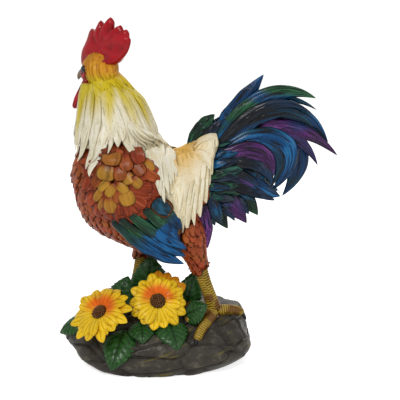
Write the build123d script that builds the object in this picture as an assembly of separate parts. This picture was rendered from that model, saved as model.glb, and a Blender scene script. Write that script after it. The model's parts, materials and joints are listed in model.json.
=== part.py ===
"""Cast and hand-painted rooster figure on a rock with two sunflowers, as separate bonded pieces.

Millimetres, +Z up. The origin is the middle of the underside. The bird faces -X, so its left side is -Y.
Each piece that rests on another is cut to that piece's surface, which is the glued face of the casting.
"""

import math
import os

from build123d import *

# Felt under the rock
FELT_LENGTH = 96.0
FELT_DEPTH = 70.0
FELT_THICK = 2.0
FELT_RECESS = 1.0

# Rock
ROCK_LENGTH = 166.0
ROCK_DEPTH = 116.0
ROCK_HEIGHT = 46.0
ROCK_LUMP = 2.2
ROCK_POINTS = 16

# Legs
ROD_RADIUS = 2.0
ROD_IN_ROCK = 22.0
ROD_IN_BODY = 40.0
GLUE_GAP = 0.08
SHANK_RADIUS = 5.6
SHANK_LENGTH = 39.0
TOE_RADIUS = 3.9
ANKLE_RISE = 7.0
THIGH_LENGTH = 46.0
THIGH_RADIUS = 14.0
KNEE_RADIUS = 8.6

# Torso, cast as two half shells
BODY_LENGTH = 118.0
BODY_HEIGHT = 94.0
BODY_WIDTH = 80.0
BODY_WALL = 6.0
BODY_ABOVE_KNEE = 55.0
BREAST_AHEAD_OF_KNEE = 111.0

# Neck and head
NECK_HEIGHT = 96.0
NECK_LENGTH = 74.0
NECK_WIDTH = 63.0
NECK_BEHIND_BREAST = 36.0
NECK_ABOVE_BREAST = 18.0
NECK_ROD_RADIUS = 4.0
HACKLE_LENGTH = 34.0
HACKLE_WIDTH = 14.0
HACKLE_THICK = 5.0
NECK_LEAN = 5.0
HEAD_LENGTH = 36.0
HEAD_HEIGHT = 29.0
HEAD_WIDTH = 25.0
HEAD_TURN = 40.0
EYE_RADIUS = 3.0
EYE_SUNK = 1.4
EYE_FORWARD = 0.20
BEAK_LENGTH = 14.0
BEAK_RADIUS = 5.0
BEAK_DROP = 0.10
BEAK_HOOK = 8.0
GAPE_DROP = 0.24
LOWER_BEAK_LENGTH = 10.5
LOWER_BEAK_RADIUS = 3.8
LOWER_BEAK_HOOK = 2.0
COMB_LENGTH = 54.0
COMB_HEIGHT = 37.0
COMB_THICK = 7.0
COMB_CORNER = 1.0
COMB_LIFT = 0.30
WATTLE_LENGTH = 30.0
WATTLE_WIDTH = 12.0
WATTLE_THICK = 5.0
WATTLE_FORWARD = 0.38
WATTLE_DROP = 0.25
WATTLE_SWAY = 13.5

# Wings and saddle
SHOULDER_BEHIND_BREAST = 20.0
SHOULDER_ABOVE_BREAST = 29.0
SHIELD_WIDTH = 56.0
SHIELD_THICK = 18.0
COVERT_COUNT = 8
COVERT_WIDTH = 14.0
COVERT_THICK = 5.0
FAN_START = 8.0
FAN_REACH = 34.0
FAN_FIRST = 25.0
FAN_LAST = -165.0
FLIGHT_WIDTH = 12.0
FLIGHT_THICK = 4.0
SADDLE_WIDTH = 46.0
SADDLE_THICK = 13.0

# Tail
TAIL_BLOCK_LENGTH = 34.0
TAIL_BLOCK_RISE = 6.0
TAIL_ROD_RADIUS = 3.0
TAIL_ROD_REACH = 16.0
FEATHER_THICK = 4.4

# Sunflowers and leaves
HUB_RADIUS = 8.0
HUB_THICK = 6.0
PETAL_THICK = 3.0
PETAL_NOTCH = 0.45
PETAL_BULGE = 0.82
DISC_RADIUS = 6.5
DISC_THICK = 4.0
DISC_SEAT = 2.0
DISC_ROUND = 1.5
STEM_RADIUS = 1.6
STEM_IN_ROCK = 12.0
STEM_IN_HUB = 2.5
LEAF_THICK = 2.4

# Rings up the rock: share of its height, then middle and half size as shares of length and depth
ROCK_RINGS = [
    (0.00, 0.03, -0.08, 0.38, 0.45),
    (0.20, 0.03, -0.07, 0.47, 0.50),
    (0.45, 0.03, -0.06, 0.48, 0.50),
    (0.70, 0.03, -0.03, 0.46, 0.41),
    (0.90, 0.03, 0.00, 0.43, 0.31),
    (1.00, 0.04, 0.02, 0.36, 0.22),
]
# Rings along the torso: share of its length, then lift, half height and half width as shares of its
# height and width
BODY_RINGS = [
    (0.00, 0.24, 0.03, 0.03),
    (0.04, 0.22, 0.23, 0.21),
    (0.15, 0.16, 0.41, 0.37),
    (0.33, 0.10, 0.48, 0.47),
    (0.55, 0.00, 0.50, 0.50),
    (0.75, -0.03, 0.49, 0.46),
    (0.90, 0.07, 0.44, 0.38),
    (1.00, 0.21, 0.34, 0.29),
]
# Rings up the neck: share of its height, then shift and half size as shares of its length and width
NECK_RINGS = [
    (0.00, 0.00, 0.44, 0.42),
    (0.19, 0.01, 0.49, 0.50),
    (0.38, 0.02, 0.50, 0.49),
    (0.57, 0.00, 0.46, 0.44),
    (0.76, -0.05, 0.36, 0.35),
    (0.90, -0.12, 0.24, 0.24),
    (1.00, -0.15, 0.18, 0.17),
]
# Hackle tips on each side: turn from the front in degrees, and height above the neck's foot
HACKLE_TIPS = [(12, 27), (36, 24), (64, 12), (92, 34), (118, 18), (142, 16), (166, 24)]
# Rings along the head, back to front: share of its length, then lift and half size as shares of its height
HEAD_RINGS = [
    (-0.50, 0.04, 0.06),
    (-0.42, 0.04, 0.30),
    (-0.15, 0.02, 0.48),
    (0.10, 0.00, 0.50),
    (0.32, -0.06, 0.38),
    (0.50, -0.12, 0.09),
]
# Rings along the tail block: share of its length, then half size as a share of the rump's
BLOCK_RINGS = [(0.00, 0.97), (0.40, 0.88), (0.80, 0.50), (1.00, 0.12)]
# Outline of the comb, front to back: shares of its length and height from its front foot
COMB_OUTLINE = [
    (0.00, 0.04), (0.02, 0.36), (0.20, 0.74), (0.29, 0.69), (0.40, 0.92), (0.46, 0.81), (0.60, 1.00),
    (0.66, 0.77), (0.81, 0.82), (0.86, 0.72), (0.95, 0.72), (1.00, 0.50), (0.95, 0.28), (0.83, 0.09),
    (0.68, -0.04), (0.46, -0.10), (0.20, -0.10),
]

# Legs: foot on the rock's plan, lean of the shank in X and Y, and each toe's reach in X and Y with the
# lift of its tip
LEGS = {
    "left": ((0.31, -0.19), (-0.33, -0.04), [(-16, -31, 0), (-25, -15, 0), (-27, 4, 0), (25, 9, 8)]),
    "right": ((-0.12, 0.19), (0.19, 0.00), [(-26, -13, 0), (-30, -1, 0), (-24, 10, 0), (20, 5, 0)]),
}
SIDES = {"left": -1, "right": 1}

# Pads on the bird: along and up from an anchor in millimetres, and out as a share of half the body's width
SHIELD_CURVE = [(2, 0.70, 6), (18, 1.00, 4), (44, 1.00, -20), (66, 0.88, -38)]
SADDLE_CURVE = [(-18, 0.05, 26), (-20, 0.80, 26), (-22, 1.02, -10), (-24, 0.92, -48)]
# Middle of the fan of coverts, along and up from the shoulder
FAN_MIDDLE = (25, -8)
# Flight feathers in one upright plane: root, two pulls and tip, along and up from the shoulder
FLIGHT_OUT = 0.96
FLIGHT_CURVES = [
    [(17, -36), (36, -55), (58, -70), (78, -76)],
    [(28, -33), (45, -44), (64, -62), (79, -69)],
    [(37, -30), (49, -39), (66, -55), (80, -62)],
    [(43, -24), (54, -30), (65, -42), (73, -55)],
]
# Tail feathers: full width, how far out, and curve from the middle of the rump face
TAIL_SINGLES = {
    "tail_top_blue": (18.0, 0.06, [(1, 20), (13, 41), (28, 64), (48, 90)]),
    "tail_green_sickle": (15.0, -0.06, [(2, 20), (24, 57), (54, 89), (93, 70)]),
    "tail_blue_sickle": (22.0, 0.06, [(4, 12), (32, 51), (75, 78), (105, 30)]),
    "tail_purple_sickle": (15.0, -0.06, [(5, 10), (37, 48), (71, 61), (113, 20)]),
    "tail_left_curl": (22.0, -0.18, [(5, 14), (41, 50), (93, 35), (57, -9)]),
    "tail_right_curl": (24.0, 0.18, [(5, 14), (45, 55), (106, 31), (66, -18)]),
    "tail_low_green": (13.0, 0.00, [(0, -20), (6, -24), (10, -34), (18, -46)]),
    "tail_back_covert": (17.0, 0.00, [(-15, 22), (-10, 36), (-4, 46), (2, 52)]),
}
# Tail feathers that stand on both sides
TAIL_PAIRS = {
    "inner_blue": (19.0, 0.30, [(4, 12), (28, 33), (58, 28), (54, -1)]),
    "lower_blue": (18.0, 0.30, [(3, 3), (19, 6), (41, -6), (63, -14)]),
    "green": (17.0, 0.18, [(3, -8), (18, -5), (33, -14), (44, -32)]),
    "low_purple": (15.0, 0.30, [(1, -12), (13, -12), (24, -22), (34, -38)]),
    "fluff": (14.0, 0.62, [(-6, -18), (-4, -28), (-4, -41), (0, -57)]),
}

# Sunflowers: place on the rock's plan, rise, facing, petal count and petal length
FLOWERS = {
    "left": ((-0.28, -0.39), 28.0, (-0.42, -0.52, 0.74), 13, 21.0),
    "right": ((0.02, -0.33), 19.0, (0.05, -0.82, 0.57), 14, 18.0),
}
# Leaves: full width, root on the rock's plan with its lift, run to the tip, and which way the leaf faces
LEAVES = {
    "leaf_far_left": (18.0, (-0.37, -0.19), 3.0, (-23, 3, -11), (-0.4, -0.5, 0.8)),
    "leaf_front_left": (25.0, (-0.15, -0.38), 2.0, (-10, -23, -24), (-0.2, -0.7, 0.7)),
    "leaf_front_middle": (19.0, (-0.07, -0.34), 2.0, (3, -22, -9), (0.1, -0.6, 0.8)),
    "leaf_front_right": (24.0, (0.07, -0.33), 2.0, (9, -24, -16), (0.1, -0.6, 0.8)),
    "leaf_near_foot": (19.0, (0.16, -0.28), 1.0, (18, -8, 14), (-0.3, -0.7, 0.6)),
    "leaf_behind_right_flower": (20.0, (0.16, -0.09), -1.0, (8, 2, 32), (0.1, -0.9, 0.2)),
    "leaf_behind_left_flower": (22.0, (-0.20, -0.08), -1.0, (8, 4, 27), (-0.2, -0.9, 0.2)),
    "leaf_tall": (29.0, (-0.04, 0.08), -1.0, (2, 0, 41), (0.0, -1.0, 0.1)),
}

# Stations along a feather, and radii along each limb as shares of its own radius
STATIONS = (0.0, 0.2, 0.4, 0.6, 0.8, 0.93, 1.0)
SHANK_SHARES = (1.0, 0.86, 0.95, 1.0)
TOE_SHARES = (1.0, 0.95, 0.9, 0.8, 0.2)
BEAK_SHARES = (1.0, 0.9, 0.65, 0.2)
LEAST_PAD_SHARE = 0.3
OVAL_END_SHARE = 0.12


def between(start, end, share):
    """A point part of the way from start to end."""
    return start + (end - start) * share


def ring_loft(rings):
    """A closed solid through elliptical rings, each a plane with its long and short radius."""
    return Solid.make_loft([Wire.make_ellipse(long, short, plane) for plane, long, short in rings])


def lance(t):
    """Share of the full width along a feather: narrow root, widest past its middle, pointed tip."""
    root, peak, tip = 0.5, 0.55, 0.08
    if t <= peak:
        return root + (1 - root) * math.sin(t / peak * math.pi / 2)
    return max(tip, math.cos((t - peak) / (1 - peak) * math.pi / 2))


def oval(t):
    """Share of the full width along an oval plate."""
    return max(OVAL_END_SHARE, math.sqrt(1 - (2 * t - 1) ** 2))


def blade(points, width, thick, face=None, across=None, profile=lance):
    """A swelling pad along a curve. Its flat side looks along face, or its width lies along across."""
    spine = Bezier(*points)
    rings = []
    for t in STATIONS:
        along = spine.tangent_at(t)
        short = thick / 2 * max(profile(t), LEAST_PAD_SHARE)
        long = max(width / 2 * profile(t), short)
        plane = Plane(spine.position_at(t), x_dir=across or along.cross(face), z_dir=along)
        rings.append((plane, long, short))
    return ring_loft(rings)


def sickle(anchor, out, curve, width, thick):
    """One flat feather in an upright plane along the bird: a curved spine with a pointed tip."""
    spine = Bezier(*[Vector(anchor.X + x, out * BODY_WIDTH / 2, anchor.Z + z) for x, z in curve])
    upper, lower = [], []
    for t in STATIONS[:-1]:
        aside = spine.tangent_at(t).cross(Vector(0, 1, 0)) * width / 2 * lance(t)
        upper.append(spine.position_at(t) + aside)
        lower.append(spine.position_at(t) - aside)
    tip = spine.position_at(1)
    sides = [Edge.make_spline(upper + [tip]), Edge.make_spline(lower + [tip])]
    root = Edge.make_line(upper[0], lower[0])
    return extrude(Face(Wire([*sides, root])), thick / 2, dir=(0, 1, 0), both=True).solid()


def limb(points, radii, aside=None):
    """A round limb along a curve that bends across aside, with its radii evenly spaced from start to end."""
    spine = Bezier(*points)
    run = (points[-1] - points[0]).normalized()
    aside = aside or (Vector(0, 1, 0) if abs(run.Y) < 0.7 else Vector(1, 0, 0))
    rings = []
    for step, radius in enumerate(radii):
        t = step / (len(radii) - 1)
        along = spine.tangent_at(t)
        rings.append((Plane(spine.position_at(t), x_dir=along.cross(aside), z_dir=along), radius, radius))
    return ring_loft(rings)


def dowel(start, end, radius):
    """A round bar between two points."""
    axis = end - start
    return Solid.make_cylinder(radius, axis.length, Plane(start, z_dir=axis))


def surface_point(carrier, start, way, beside=None):
    """Where a ray from inside the carrier leaves it, or the given point where the ray passes beside it."""
    hits = [point for point, _ in carrier.shell().find_intersection_points(Axis(start, way))]
    return max(hits, key=lambda point: (point - start).dot(way), default=beside)


def seated(piece, *carriers):
    """The piece cut to the surfaces that it is glued to, without the scraps on their far side."""
    box = piece.bounding_box()
    touching = [carrier for carrier in carriers if box.overlaps(carrier.bounding_box())]
    rest = piece.cut(*touching) if touching else piece
    return max(rest.solids(), key=lambda solid: solid.volume)


def side_by_side(pieces):
    """Pieces of one layer, each cut by those before it."""
    laid = []
    for piece in pieces:
        laid.append(seated(piece, *laid))
    return laid


def bird_points(anchor, curve, side):
    """A curve on the bird: along and up from an anchor, and out to one side by the body's width."""
    return [Vector(anchor.X + x, side * out * BODY_WIDTH / 2, anchor.Z + z) for x, out, z in curve]


def rock_ring(share, middle_x, middle_y, half_x, half_y):
    """One level outline of the rock: an oval with soft lumps."""
    height = FELT_RECESS + share * (ROCK_HEIGHT - FELT_RECESS)
    points = []
    for step in range(ROCK_POINTS):
        turn = step * math.tau / ROCK_POINTS
        lump = ROCK_LUMP * (math.cos(3 * turn + 5 * share) + 0.8 * math.sin(5 * turn - 3 * share))
        x = middle_x * ROCK_LENGTH + (half_x * ROCK_LENGTH + lump) * math.cos(turn)
        y = middle_y * ROCK_DEPTH + (half_y * ROCK_DEPTH + lump) * math.sin(turn)
        points.append((x, y, height))
    return Wire([Edge.make_spline(points, periodic=True)])


def on_rock(x, y):
    """The point on top of the rock, or at the height of its widest ring where x and y lie past its edge."""
    rim = FELT_RECESS + ROCK_RINGS[2][0] * (ROCK_HEIGHT - FELT_RECESS)
    return surface_point(rock, Vector(x, y, FELT_RECESS), Vector(0, 0, 1), Vector(x, y, rim))


def planned(place):
    """The point on top of the rock at shares of its length and depth."""
    return on_rock(place[0] * ROCK_LENGTH, place[1] * ROCK_DEPTH)


def torso(inset):
    """The torso's envelope, drawn in by a wall thickness on every side."""
    rings = []
    for along, lift, tall, wide in BODY_RINGS:
        middle = breast + Vector(inset + along * (BODY_LENGTH - 2 * inset), 0, lift * BODY_HEIGHT)
        long, short = tall * BODY_HEIGHT - inset, wide * BODY_WIDTH - inset
        if min(long, short) > 0:
            rings.append((Plane(middle, x_dir=(0, 0, 1), z_dir=(1, 0, 0)), long, short))
    return ring_loft(rings)


def thigh(knee, way):
    """A drumstick from inside the body to the knee."""
    top = knee + way * THIGH_LENGTH
    radii = [KNEE_RADIUS * 0.9, KNEE_RADIUS * 1.1, THIGH_RADIUS * 0.9, THIGH_RADIUS, THIGH_RADIUS * 0.8]
    return limb([knee, between(knee, top, 1 / 3), between(knee, top, 2 / 3), top], radii)


def foot(ankle, knee, way, toes):
    """Shank and toes in one casting. Each toe follows the rock out to its claw."""
    heel = ankle - way * (ANKLE_RISE - TOE_RADIUS)
    top = knee + way * KNEE_RADIUS / 2
    radii = [SHANK_RADIUS * share for share in SHANK_SHARES]
    shank = limb([heel, between(heel, top, 1 / 3), between(heel, top, 2 / 3), top], radii)
    branches = []
    for reach_x, reach_y, lift in toes:
        tip = on_rock(heel.X + reach_x, heel.Y + reach_y) + Vector(0, 0, lift)
        bend = on_rock(heel.X + reach_x / 2, heel.Y + reach_y / 2) + Vector(0, 0, TOE_RADIUS * 1.2)
        claw = tip + Vector(0, 0, TOE_RADIUS * 0.3)
        pad = between(bend, tip, 0.6) + Vector(0, 0, TOE_RADIUS)
        radii = [TOE_RADIUS * share for share in TOE_SHARES]
        branches.append(limb([heel, bend, pad, claw], radii))
    ball = Pos(heel) * Solid.make_sphere(SHANK_RADIUS)
    return shank.fuse(ball, *branches)


def neck_plane(share, shift):
    """A level plane across the neck at a share of its height."""
    rise = Vector(shift * NECK_LENGTH, share * NECK_LEAN, share * NECK_HEIGHT)
    return Plane(neck_foot + rise, x_dir=(1, 0, 0), z_dir=(0, 0, 1))


def outermost(start, way, *carriers):
    """The farthest point of some carriers along a ray from inside them."""
    points = [surface_point(carrier, start, way, start) for carrier in carriers]
    return max(points, key=lambda point: (point - start).dot(way))


def hackle(turn, tip, side):
    """One pointed hackle that lies on the neck and runs out over the body."""
    way = Vector(-math.cos(math.radians(turn)), side * math.sin(math.radians(turn)), 0)
    points = []
    for share in (1, 2 / 3, 1 / 3, 0):
        start = neck_foot + Vector(0, 0, tip + share * HACKLE_LENGTH)
        points.append(outermost(start, way, neck, body))
    return blade(points, HACKLE_WIDTH, HACKLE_THICK, way)


def covert(turn, side, *carriers):
    """One feather of the fan on a wing shield."""
    out = Vector(0, side, 0)
    middle = shoulder + Vector(FAN_MIDDLE[0], 0, FAN_MIDDLE[1])
    way = Vector(math.cos(math.radians(turn)), 0, math.sin(math.radians(turn)))
    points = []
    for share in (0, 1 / 3, 2 / 3, 1):
        points.append(outermost(middle + way * between(FAN_START, FAN_REACH, share), out, *carriers))
    return blade(points, COVERT_WIDTH, COVERT_THICK, out, profile=oval)


def at_head(forward, left, lift):
    """A point forward, to the bird's left and up from the middle of the head."""
    return head_middle + head_way * forward + head_left * left + Vector(0, 0, lift)


def head_plane(along, lift):
    """A plane across the head at a share of its length, with its middle lifted by a share of its height."""
    return Plane(at_head(along * HEAD_LENGTH, 0, lift * HEAD_HEIGHT), x_dir=(0, 0, 1), z_dir=head_way)


def beak(drop, length, hook, radius):
    """Half of the beak, from inside the face to its point."""
    root = HEAD_LENGTH / 2 - BEAK_RADIUS
    points = [
        at_head(root, 0, -drop),
        at_head(root + length / 2, 0, -drop),
        at_head(root + length, 0, -drop - hook / 3),
        at_head(root + length, 0, -drop - hook),
    ]
    return limb(points, [radius * share for share in BEAK_SHARES], head_left)


def petal_ring(plane, count, length):
    """All petals of a flower as one plate: each petal is two arcs from its notches to its point."""
    outline = []
    for step in range(count):
        start, tip, end = (math.tau * (step + share) / count for share in (0, 0.5, 1))
        notch, point = HUB_RADIUS + PETAL_NOTCH * length, HUB_RADIUS + length
        bulge = HUB_RADIUS + PETAL_BULGE * length
        corners = [
            (notch * math.cos(start), notch * math.sin(start)),
            (bulge * math.cos((start + tip) / 2), bulge * math.sin((start + tip) / 2)),
            (point * math.cos(tip), point * math.sin(tip)),
            (bulge * math.cos((end + tip) / 2), bulge * math.sin((end + tip) / 2)),
            (notch * math.cos(end), notch * math.sin(end)),
        ]
        outline += [ThreePointArc(*corners[:3]), ThreePointArc(*corners[2:])]
    return extrude(plane * make_face(outline), -PETAL_THICK).solid()


def leaf(root, run, facing, width):
    """One leaf as a plate: two curved sides from its stalk to its point."""
    length = run.length
    plane = Plane(root, x_dir=run, z_dir=run.cross(Vector(facing)).cross(run))
    sides = []
    for way in (1, -1):
        bulge = (length * 0.3, way * width / 2)
        taper = (length * 0.7, way * width / 3)
        sides.append(Spline((0, 0), bulge, taper, (length, 0)))
    return extrude(plane * make_face(sides), LEAF_THICK / 2, both=True).solid()


parts = {}
rock = Solid.make_loft([rock_ring(*ring) for ring in ROCK_RINGS])
felt = extrude(Ellipse(FELT_LENGTH / 2, FELT_DEPTH / 2), FELT_THICK).solid()
parts["felt_base_pad"] = felt
rock_cuts = [felt]

# Leg lines: each rod runs from the rock, through foot and thigh, into the body. Both knees are level
leg_lines = {}
knee_height = None
for side, (place, lean, _) in LEGS.items():
    ankle = planned(place) + Vector(0, 0, ANKLE_RISE)
    way = Vector(*lean, 1).normalized()
    knee_height = knee_height or ankle.Z + SHANK_LENGTH * way.Z
    leg_lines[side] = (ankle, ankle + way * ((knee_height - ankle.Z) / way.Z), way)

left_knee = leg_lines["left"][1]
breast = Vector(left_knee.X - BREAST_AHEAD_OF_KNEE, 0, left_knee.Z + BODY_ABOVE_KNEE)
rump = breast + Vector(BODY_LENGTH, 0, BODY_RINGS[-1][1] * BODY_HEIGHT)
body = torso(0)
hollow = torso(BODY_WALL)
shell_bores = {}
limbs = {}
for side, (ankle, knee, way) in leg_lines.items():
    low = ankle - way * (ANKLE_RISE + ROD_IN_ROCK)
    high = knee + way * ROD_IN_BODY
    bore = dowel(low, high, ROD_RADIUS + GLUE_GAP)
    drumstick = seated(thigh(knee, way), body)
    claws = seated(foot(ankle, knee, way, LEGS[side][2]), rock, drumstick)
    limbs[f"{side}_thigh"] = drumstick
    limbs[f"{side}_foot"] = claws
    parts[f"{side}_leg_rod"] = dowel(low, high, ROD_RADIUS)
    parts[f"{side}_thigh"] = seated(drumstick, bore)
    parts[f"{side}_foot"] = seated(claws, bore)
    shell_bores[side] = [bore]
    rock_cuts.append(bore)

# Neck with its cape of hackles, on a rod from the body into the head
neck_foot = breast + Vector(NECK_BEHIND_BREAST, 0, NECK_ABOVE_BREAST)
neck = ring_loft([(neck_plane(a, b), c * NECK_LENGTH, d * NECK_WIDTH) for a, b, c, d in NECK_RINGS])
head_way = Vector(-math.cos(math.radians(HEAD_TURN)), math.sin(math.radians(HEAD_TURN)), 0)
head_left = Vector(0, 0, 1).cross(head_way)
head_middle = neck_plane(1.0, NECK_RINGS[-1][1]).origin
head = ring_loft([(head_plane(a, b), c * HEAD_HEIGHT, c * HEAD_WIDTH) for a, b, c in HEAD_RINGS])
hackles = [hackle(turn, tip, side) for turn, tip in HACKLE_TIPS for side in SIDES.values()]
cape = seated(neck.fuse(*hackles), body, head)
neck_low = neck_plane(*NECK_RINGS[1][:2]).origin
neck_bore = dowel(neck_low, head_middle, NECK_ROD_RADIUS + GLUE_GAP)
parts["neck_rod"] = dowel(neck_low, head_middle, NECK_ROD_RADIUS)

# Head with its sockets, then what is set on it
eye_line = at_head(HEAD_LENGTH * EYE_FORWARD, 0, 0)
sockets = []
for side, way in SIDES.items():
    out = head_left * -way
    middle = surface_point(head, eye_line, out) - out * EYE_SUNK
    sockets.append(Pos(middle) * Solid.make_sphere(EYE_RADIUS))
    parts[f"{side}_eye"] = sockets[-1]
parts["head"] = seated(head, neck_bore, *sockets)
parts["neck_cape"] = seated(cape, neck_bore, *sockets)
comb_plane = Plane(at_head(HEAD_LENGTH / 2, 0, HEAD_HEIGHT * COMB_LIFT), x_dir=-head_way, z_dir=head_left)
comb_face = make_face(Polyline(*[(u * COMB_LENGTH, v * COMB_HEIGHT) for u, v in COMB_OUTLINE], close=True))
comb_face = comb_plane * fillet(comb_face.vertices(), COMB_CORNER)
parts["comb"] = seated(extrude(comb_face, COMB_THICK / 2, both=True).solid(), head, cape)
gape = Plane(at_head(0, 0, -GAPE_DROP * HEAD_HEIGHT))
upper_beak = beak(BEAK_DROP * HEAD_HEIGHT, BEAK_LENGTH, BEAK_HOOK, BEAK_RADIUS)
lower_beak = beak(GAPE_DROP * HEAD_HEIGHT, LOWER_BEAK_LENGTH, LOWER_BEAK_HOOK, LOWER_BEAK_RADIUS)
parts["upper_beak"] = seated(upper_beak.split(gape, keep=Keep.TOP), head)
parts["lower_beak"] = seated(lower_beak.split(gape, keep=Keep.BOTTOM), head)
for side, way in SIDES.items():
    out = head_left * -way
    hang = at_head(HEAD_LENGTH * WATTLE_FORWARD, 0, -HEAD_HEIGHT * WATTLE_DROP) + out * WATTLE_THICK * 0.7
    sway = head_way * WATTLE_SWAY + out
    drop = Vector(0, 0, -WATTLE_LENGTH)
    line = [hang, hang + drop * 0.3, hang + drop * 0.7 + sway * 0.6, hang + drop + sway]
    flap = blade(line, WATTLE_WIDTH, WATTLE_THICK, out)
    parts[f"{side}_wattle"] = seated(flap, head, parts["upper_beak"], parts["lower_beak"], cape)

# Wings and saddle hackles on both sides
shoulder = breast + Vector(SHOULDER_BEHIND_BREAST, 0, SHOULDER_ABOVE_BREAST)
saddles = []
for side, way in SIDES.items():
    face = Vector(0, way, 0)
    shield = blade(bird_points(shoulder, SHIELD_CURVE, way), SHIELD_WIDTH, SHIELD_THICK, face, profile=oval)
    turns = [between(FAN_FIRST, FAN_LAST, step / (COVERT_COUNT - 1)) for step in range(COVERT_COUNT)]
    coverts = [covert(turn, way, shield, body) for turn in turns]
    shield = seated(shield.fuse(*coverts), body, cape)
    saddle = blade(bird_points(rump, SADDLE_CURVE, way), SADDLE_WIDTH, SADDLE_THICK, across=Vector(1, 0, 0))
    saddle = seated(saddle, body, cape, shield, limbs[f"{side}_thigh"], *saddles)
    saddles.append(saddle)
    flights = [sickle(shoulder, way * FLIGHT_OUT, c, FLIGHT_WIDTH, FLIGHT_THICK) for c in FLIGHT_CURVES]
    covers = [body, shield, saddle, limbs[f"{side}_thigh"]]
    parts[f"{side}_wing_shield"] = shield
    parts[f"{side}_wing_flights"] = Compound([seated(flight, *covers) for flight in side_by_side(flights)])
    parts[f"{side}_saddle_hackle"] = saddle

# Tail: a core on the rump face, then the feathers, each cut by those set before it
rump_height, rump_width = BODY_RINGS[-1][2] * BODY_HEIGHT, BODY_RINGS[-1][3] * BODY_WIDTH
block_rings = []
for along, share in BLOCK_RINGS:
    middle = rump + Vector(along * TAIL_BLOCK_LENGTH, 0, along * TAIL_BLOCK_RISE)
    across = Plane(middle, x_dir=(0, 0, 1), z_dir=(1, 0, 0))
    block_rings.append((across, share * rump_height, share * rump_width))
block = seated(ring_loft(block_rings), *saddles)
reach = Vector(TAIL_ROD_REACH, 0, 0)
tail_bore = dowel(rump - reach, rump + reach, TAIL_ROD_RADIUS + GLUE_GAP)
parts["tail_rod"] = dowel(rump - reach, rump + reach, TAIL_ROD_RADIUS)
parts["tail_block"] = seated(block, tail_bore)
feathers = dict(TAIL_SINGLES)
for name, (width, out, curve) in TAIL_PAIRS.items():
    for side, way in SIDES.items():
        feathers[f"tail_{side}_{name}"] = (width, way * out, curve)
plates = [sickle(rump, out, curve, width, FEATHER_THICK) for width, out, curve in feathers.values()]
for name, plate in zip(feathers, side_by_side(plates)):
    parts[name] = seated(plate, block, body, *saddles, limbs["left_thigh"])

# Torso halves, with the bores that their rods are glued into
for side, keep in (("left", Keep.TOP), ("right", Keep.BOTTOM)):
    half = body.split(Plane.XZ, keep=keep)
    bores = [*shell_bores[side], neck_bore, tail_bore]
    parts[f"{side}_body_shell"] = seated(half, hollow, *bores)

# Sunflowers on wire stems, then the leaves around them
ground = [rock, limbs["left_foot"], limbs["right_foot"]]
for side, (place, rise, facing, count, length) in FLOWERS.items():
    normal = Vector(facing).normalized()
    middle = planned(place) + Vector(0, 0, rise)
    plane = Plane(middle, x_dir=Vector(0, 0, 1).cross(normal), z_dir=normal)
    hub = Solid.make_cylinder(HUB_RADIUS, HUB_THICK, plane.offset(-HUB_THICK))
    seat = Solid.make_cylinder(DISC_RADIUS + GLUE_GAP, DISC_SEAT, plane.offset(-DISC_SEAT))
    disc = Solid.make_cylinder(DISC_RADIUS, DISC_THICK, plane.offset(-DISC_SEAT))
    rim = max(disc.edges(), key=lambda edge: (edge.center() - middle).dot(normal))
    stem_top = middle - normal * (HUB_THICK - STEM_IN_HUB)
    stem_foot = on_rock(middle.X - normal.X * rise / 2, middle.Y - normal.Y * rise / 2)
    stem_low = stem_foot - (stem_top - stem_foot).normalized() * STEM_IN_ROCK
    stem_bore = dowel(stem_low, stem_top, STEM_RADIUS + GLUE_GAP)
    rock_cuts.append(stem_bore)
    bloom = seated(hub.fuse(petal_ring(plane, count, length)), seat, stem_bore, *ground)
    parts[f"{side}_flower_petals"] = bloom
    parts[f"{side}_flower_disc"] = disc.fillet(DISC_ROUND, [rim])
    parts[f"{side}_flower_stem"] = dowel(stem_low, stem_top, STEM_RADIUS)
    ground += [bloom, parts[f"{side}_flower_stem"]]
for name, (width, place, lift, run, facing) in LEAVES.items():
    root = planned(place) + Vector(0, 0, lift)
    parts[name] = seated(leaf(root, Vector(run), facing, width), *ground)
    ground.append(parts[name])
parts["rock_base"] = seated(rock, *rock_cuts)

os.makedirs("parts", exist_ok=True)
for name, piece in parts.items():
    export_step(piece, f"parts/{name}.step")
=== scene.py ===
"""Dresses the cast rooster figure: carved feathers, hackles, flowers, leaves and rock, each with its paint.

Lengths are millimetres in the figure's own frame, +Z up, with the bird facing -X and its left side at -Y.
They become metres where a vertex is placed.
"""

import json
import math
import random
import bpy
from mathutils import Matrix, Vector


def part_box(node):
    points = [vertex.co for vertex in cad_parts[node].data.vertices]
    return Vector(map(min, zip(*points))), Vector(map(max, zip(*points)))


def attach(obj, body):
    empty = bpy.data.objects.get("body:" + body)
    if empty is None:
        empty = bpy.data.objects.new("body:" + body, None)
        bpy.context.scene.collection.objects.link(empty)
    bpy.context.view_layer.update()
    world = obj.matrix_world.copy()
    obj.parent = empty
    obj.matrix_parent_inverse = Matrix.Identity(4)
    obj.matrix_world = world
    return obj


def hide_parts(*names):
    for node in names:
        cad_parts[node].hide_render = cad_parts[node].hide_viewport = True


bl_info = {
    "name": "Cast Rooster Figure",
    "version": (1, 0, 0),
    "blender": (4, 5, 0),
    "location": "View3D > Sidebar > Rooster",
    "description": "Carved feathers, flowers, rock and paint for a cast rooster figure",
    "category": "Object",
}

import bmesh
import bpy
from mathutils import Vector, noise
from mathutils.bvhtree import BVHTree

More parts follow.
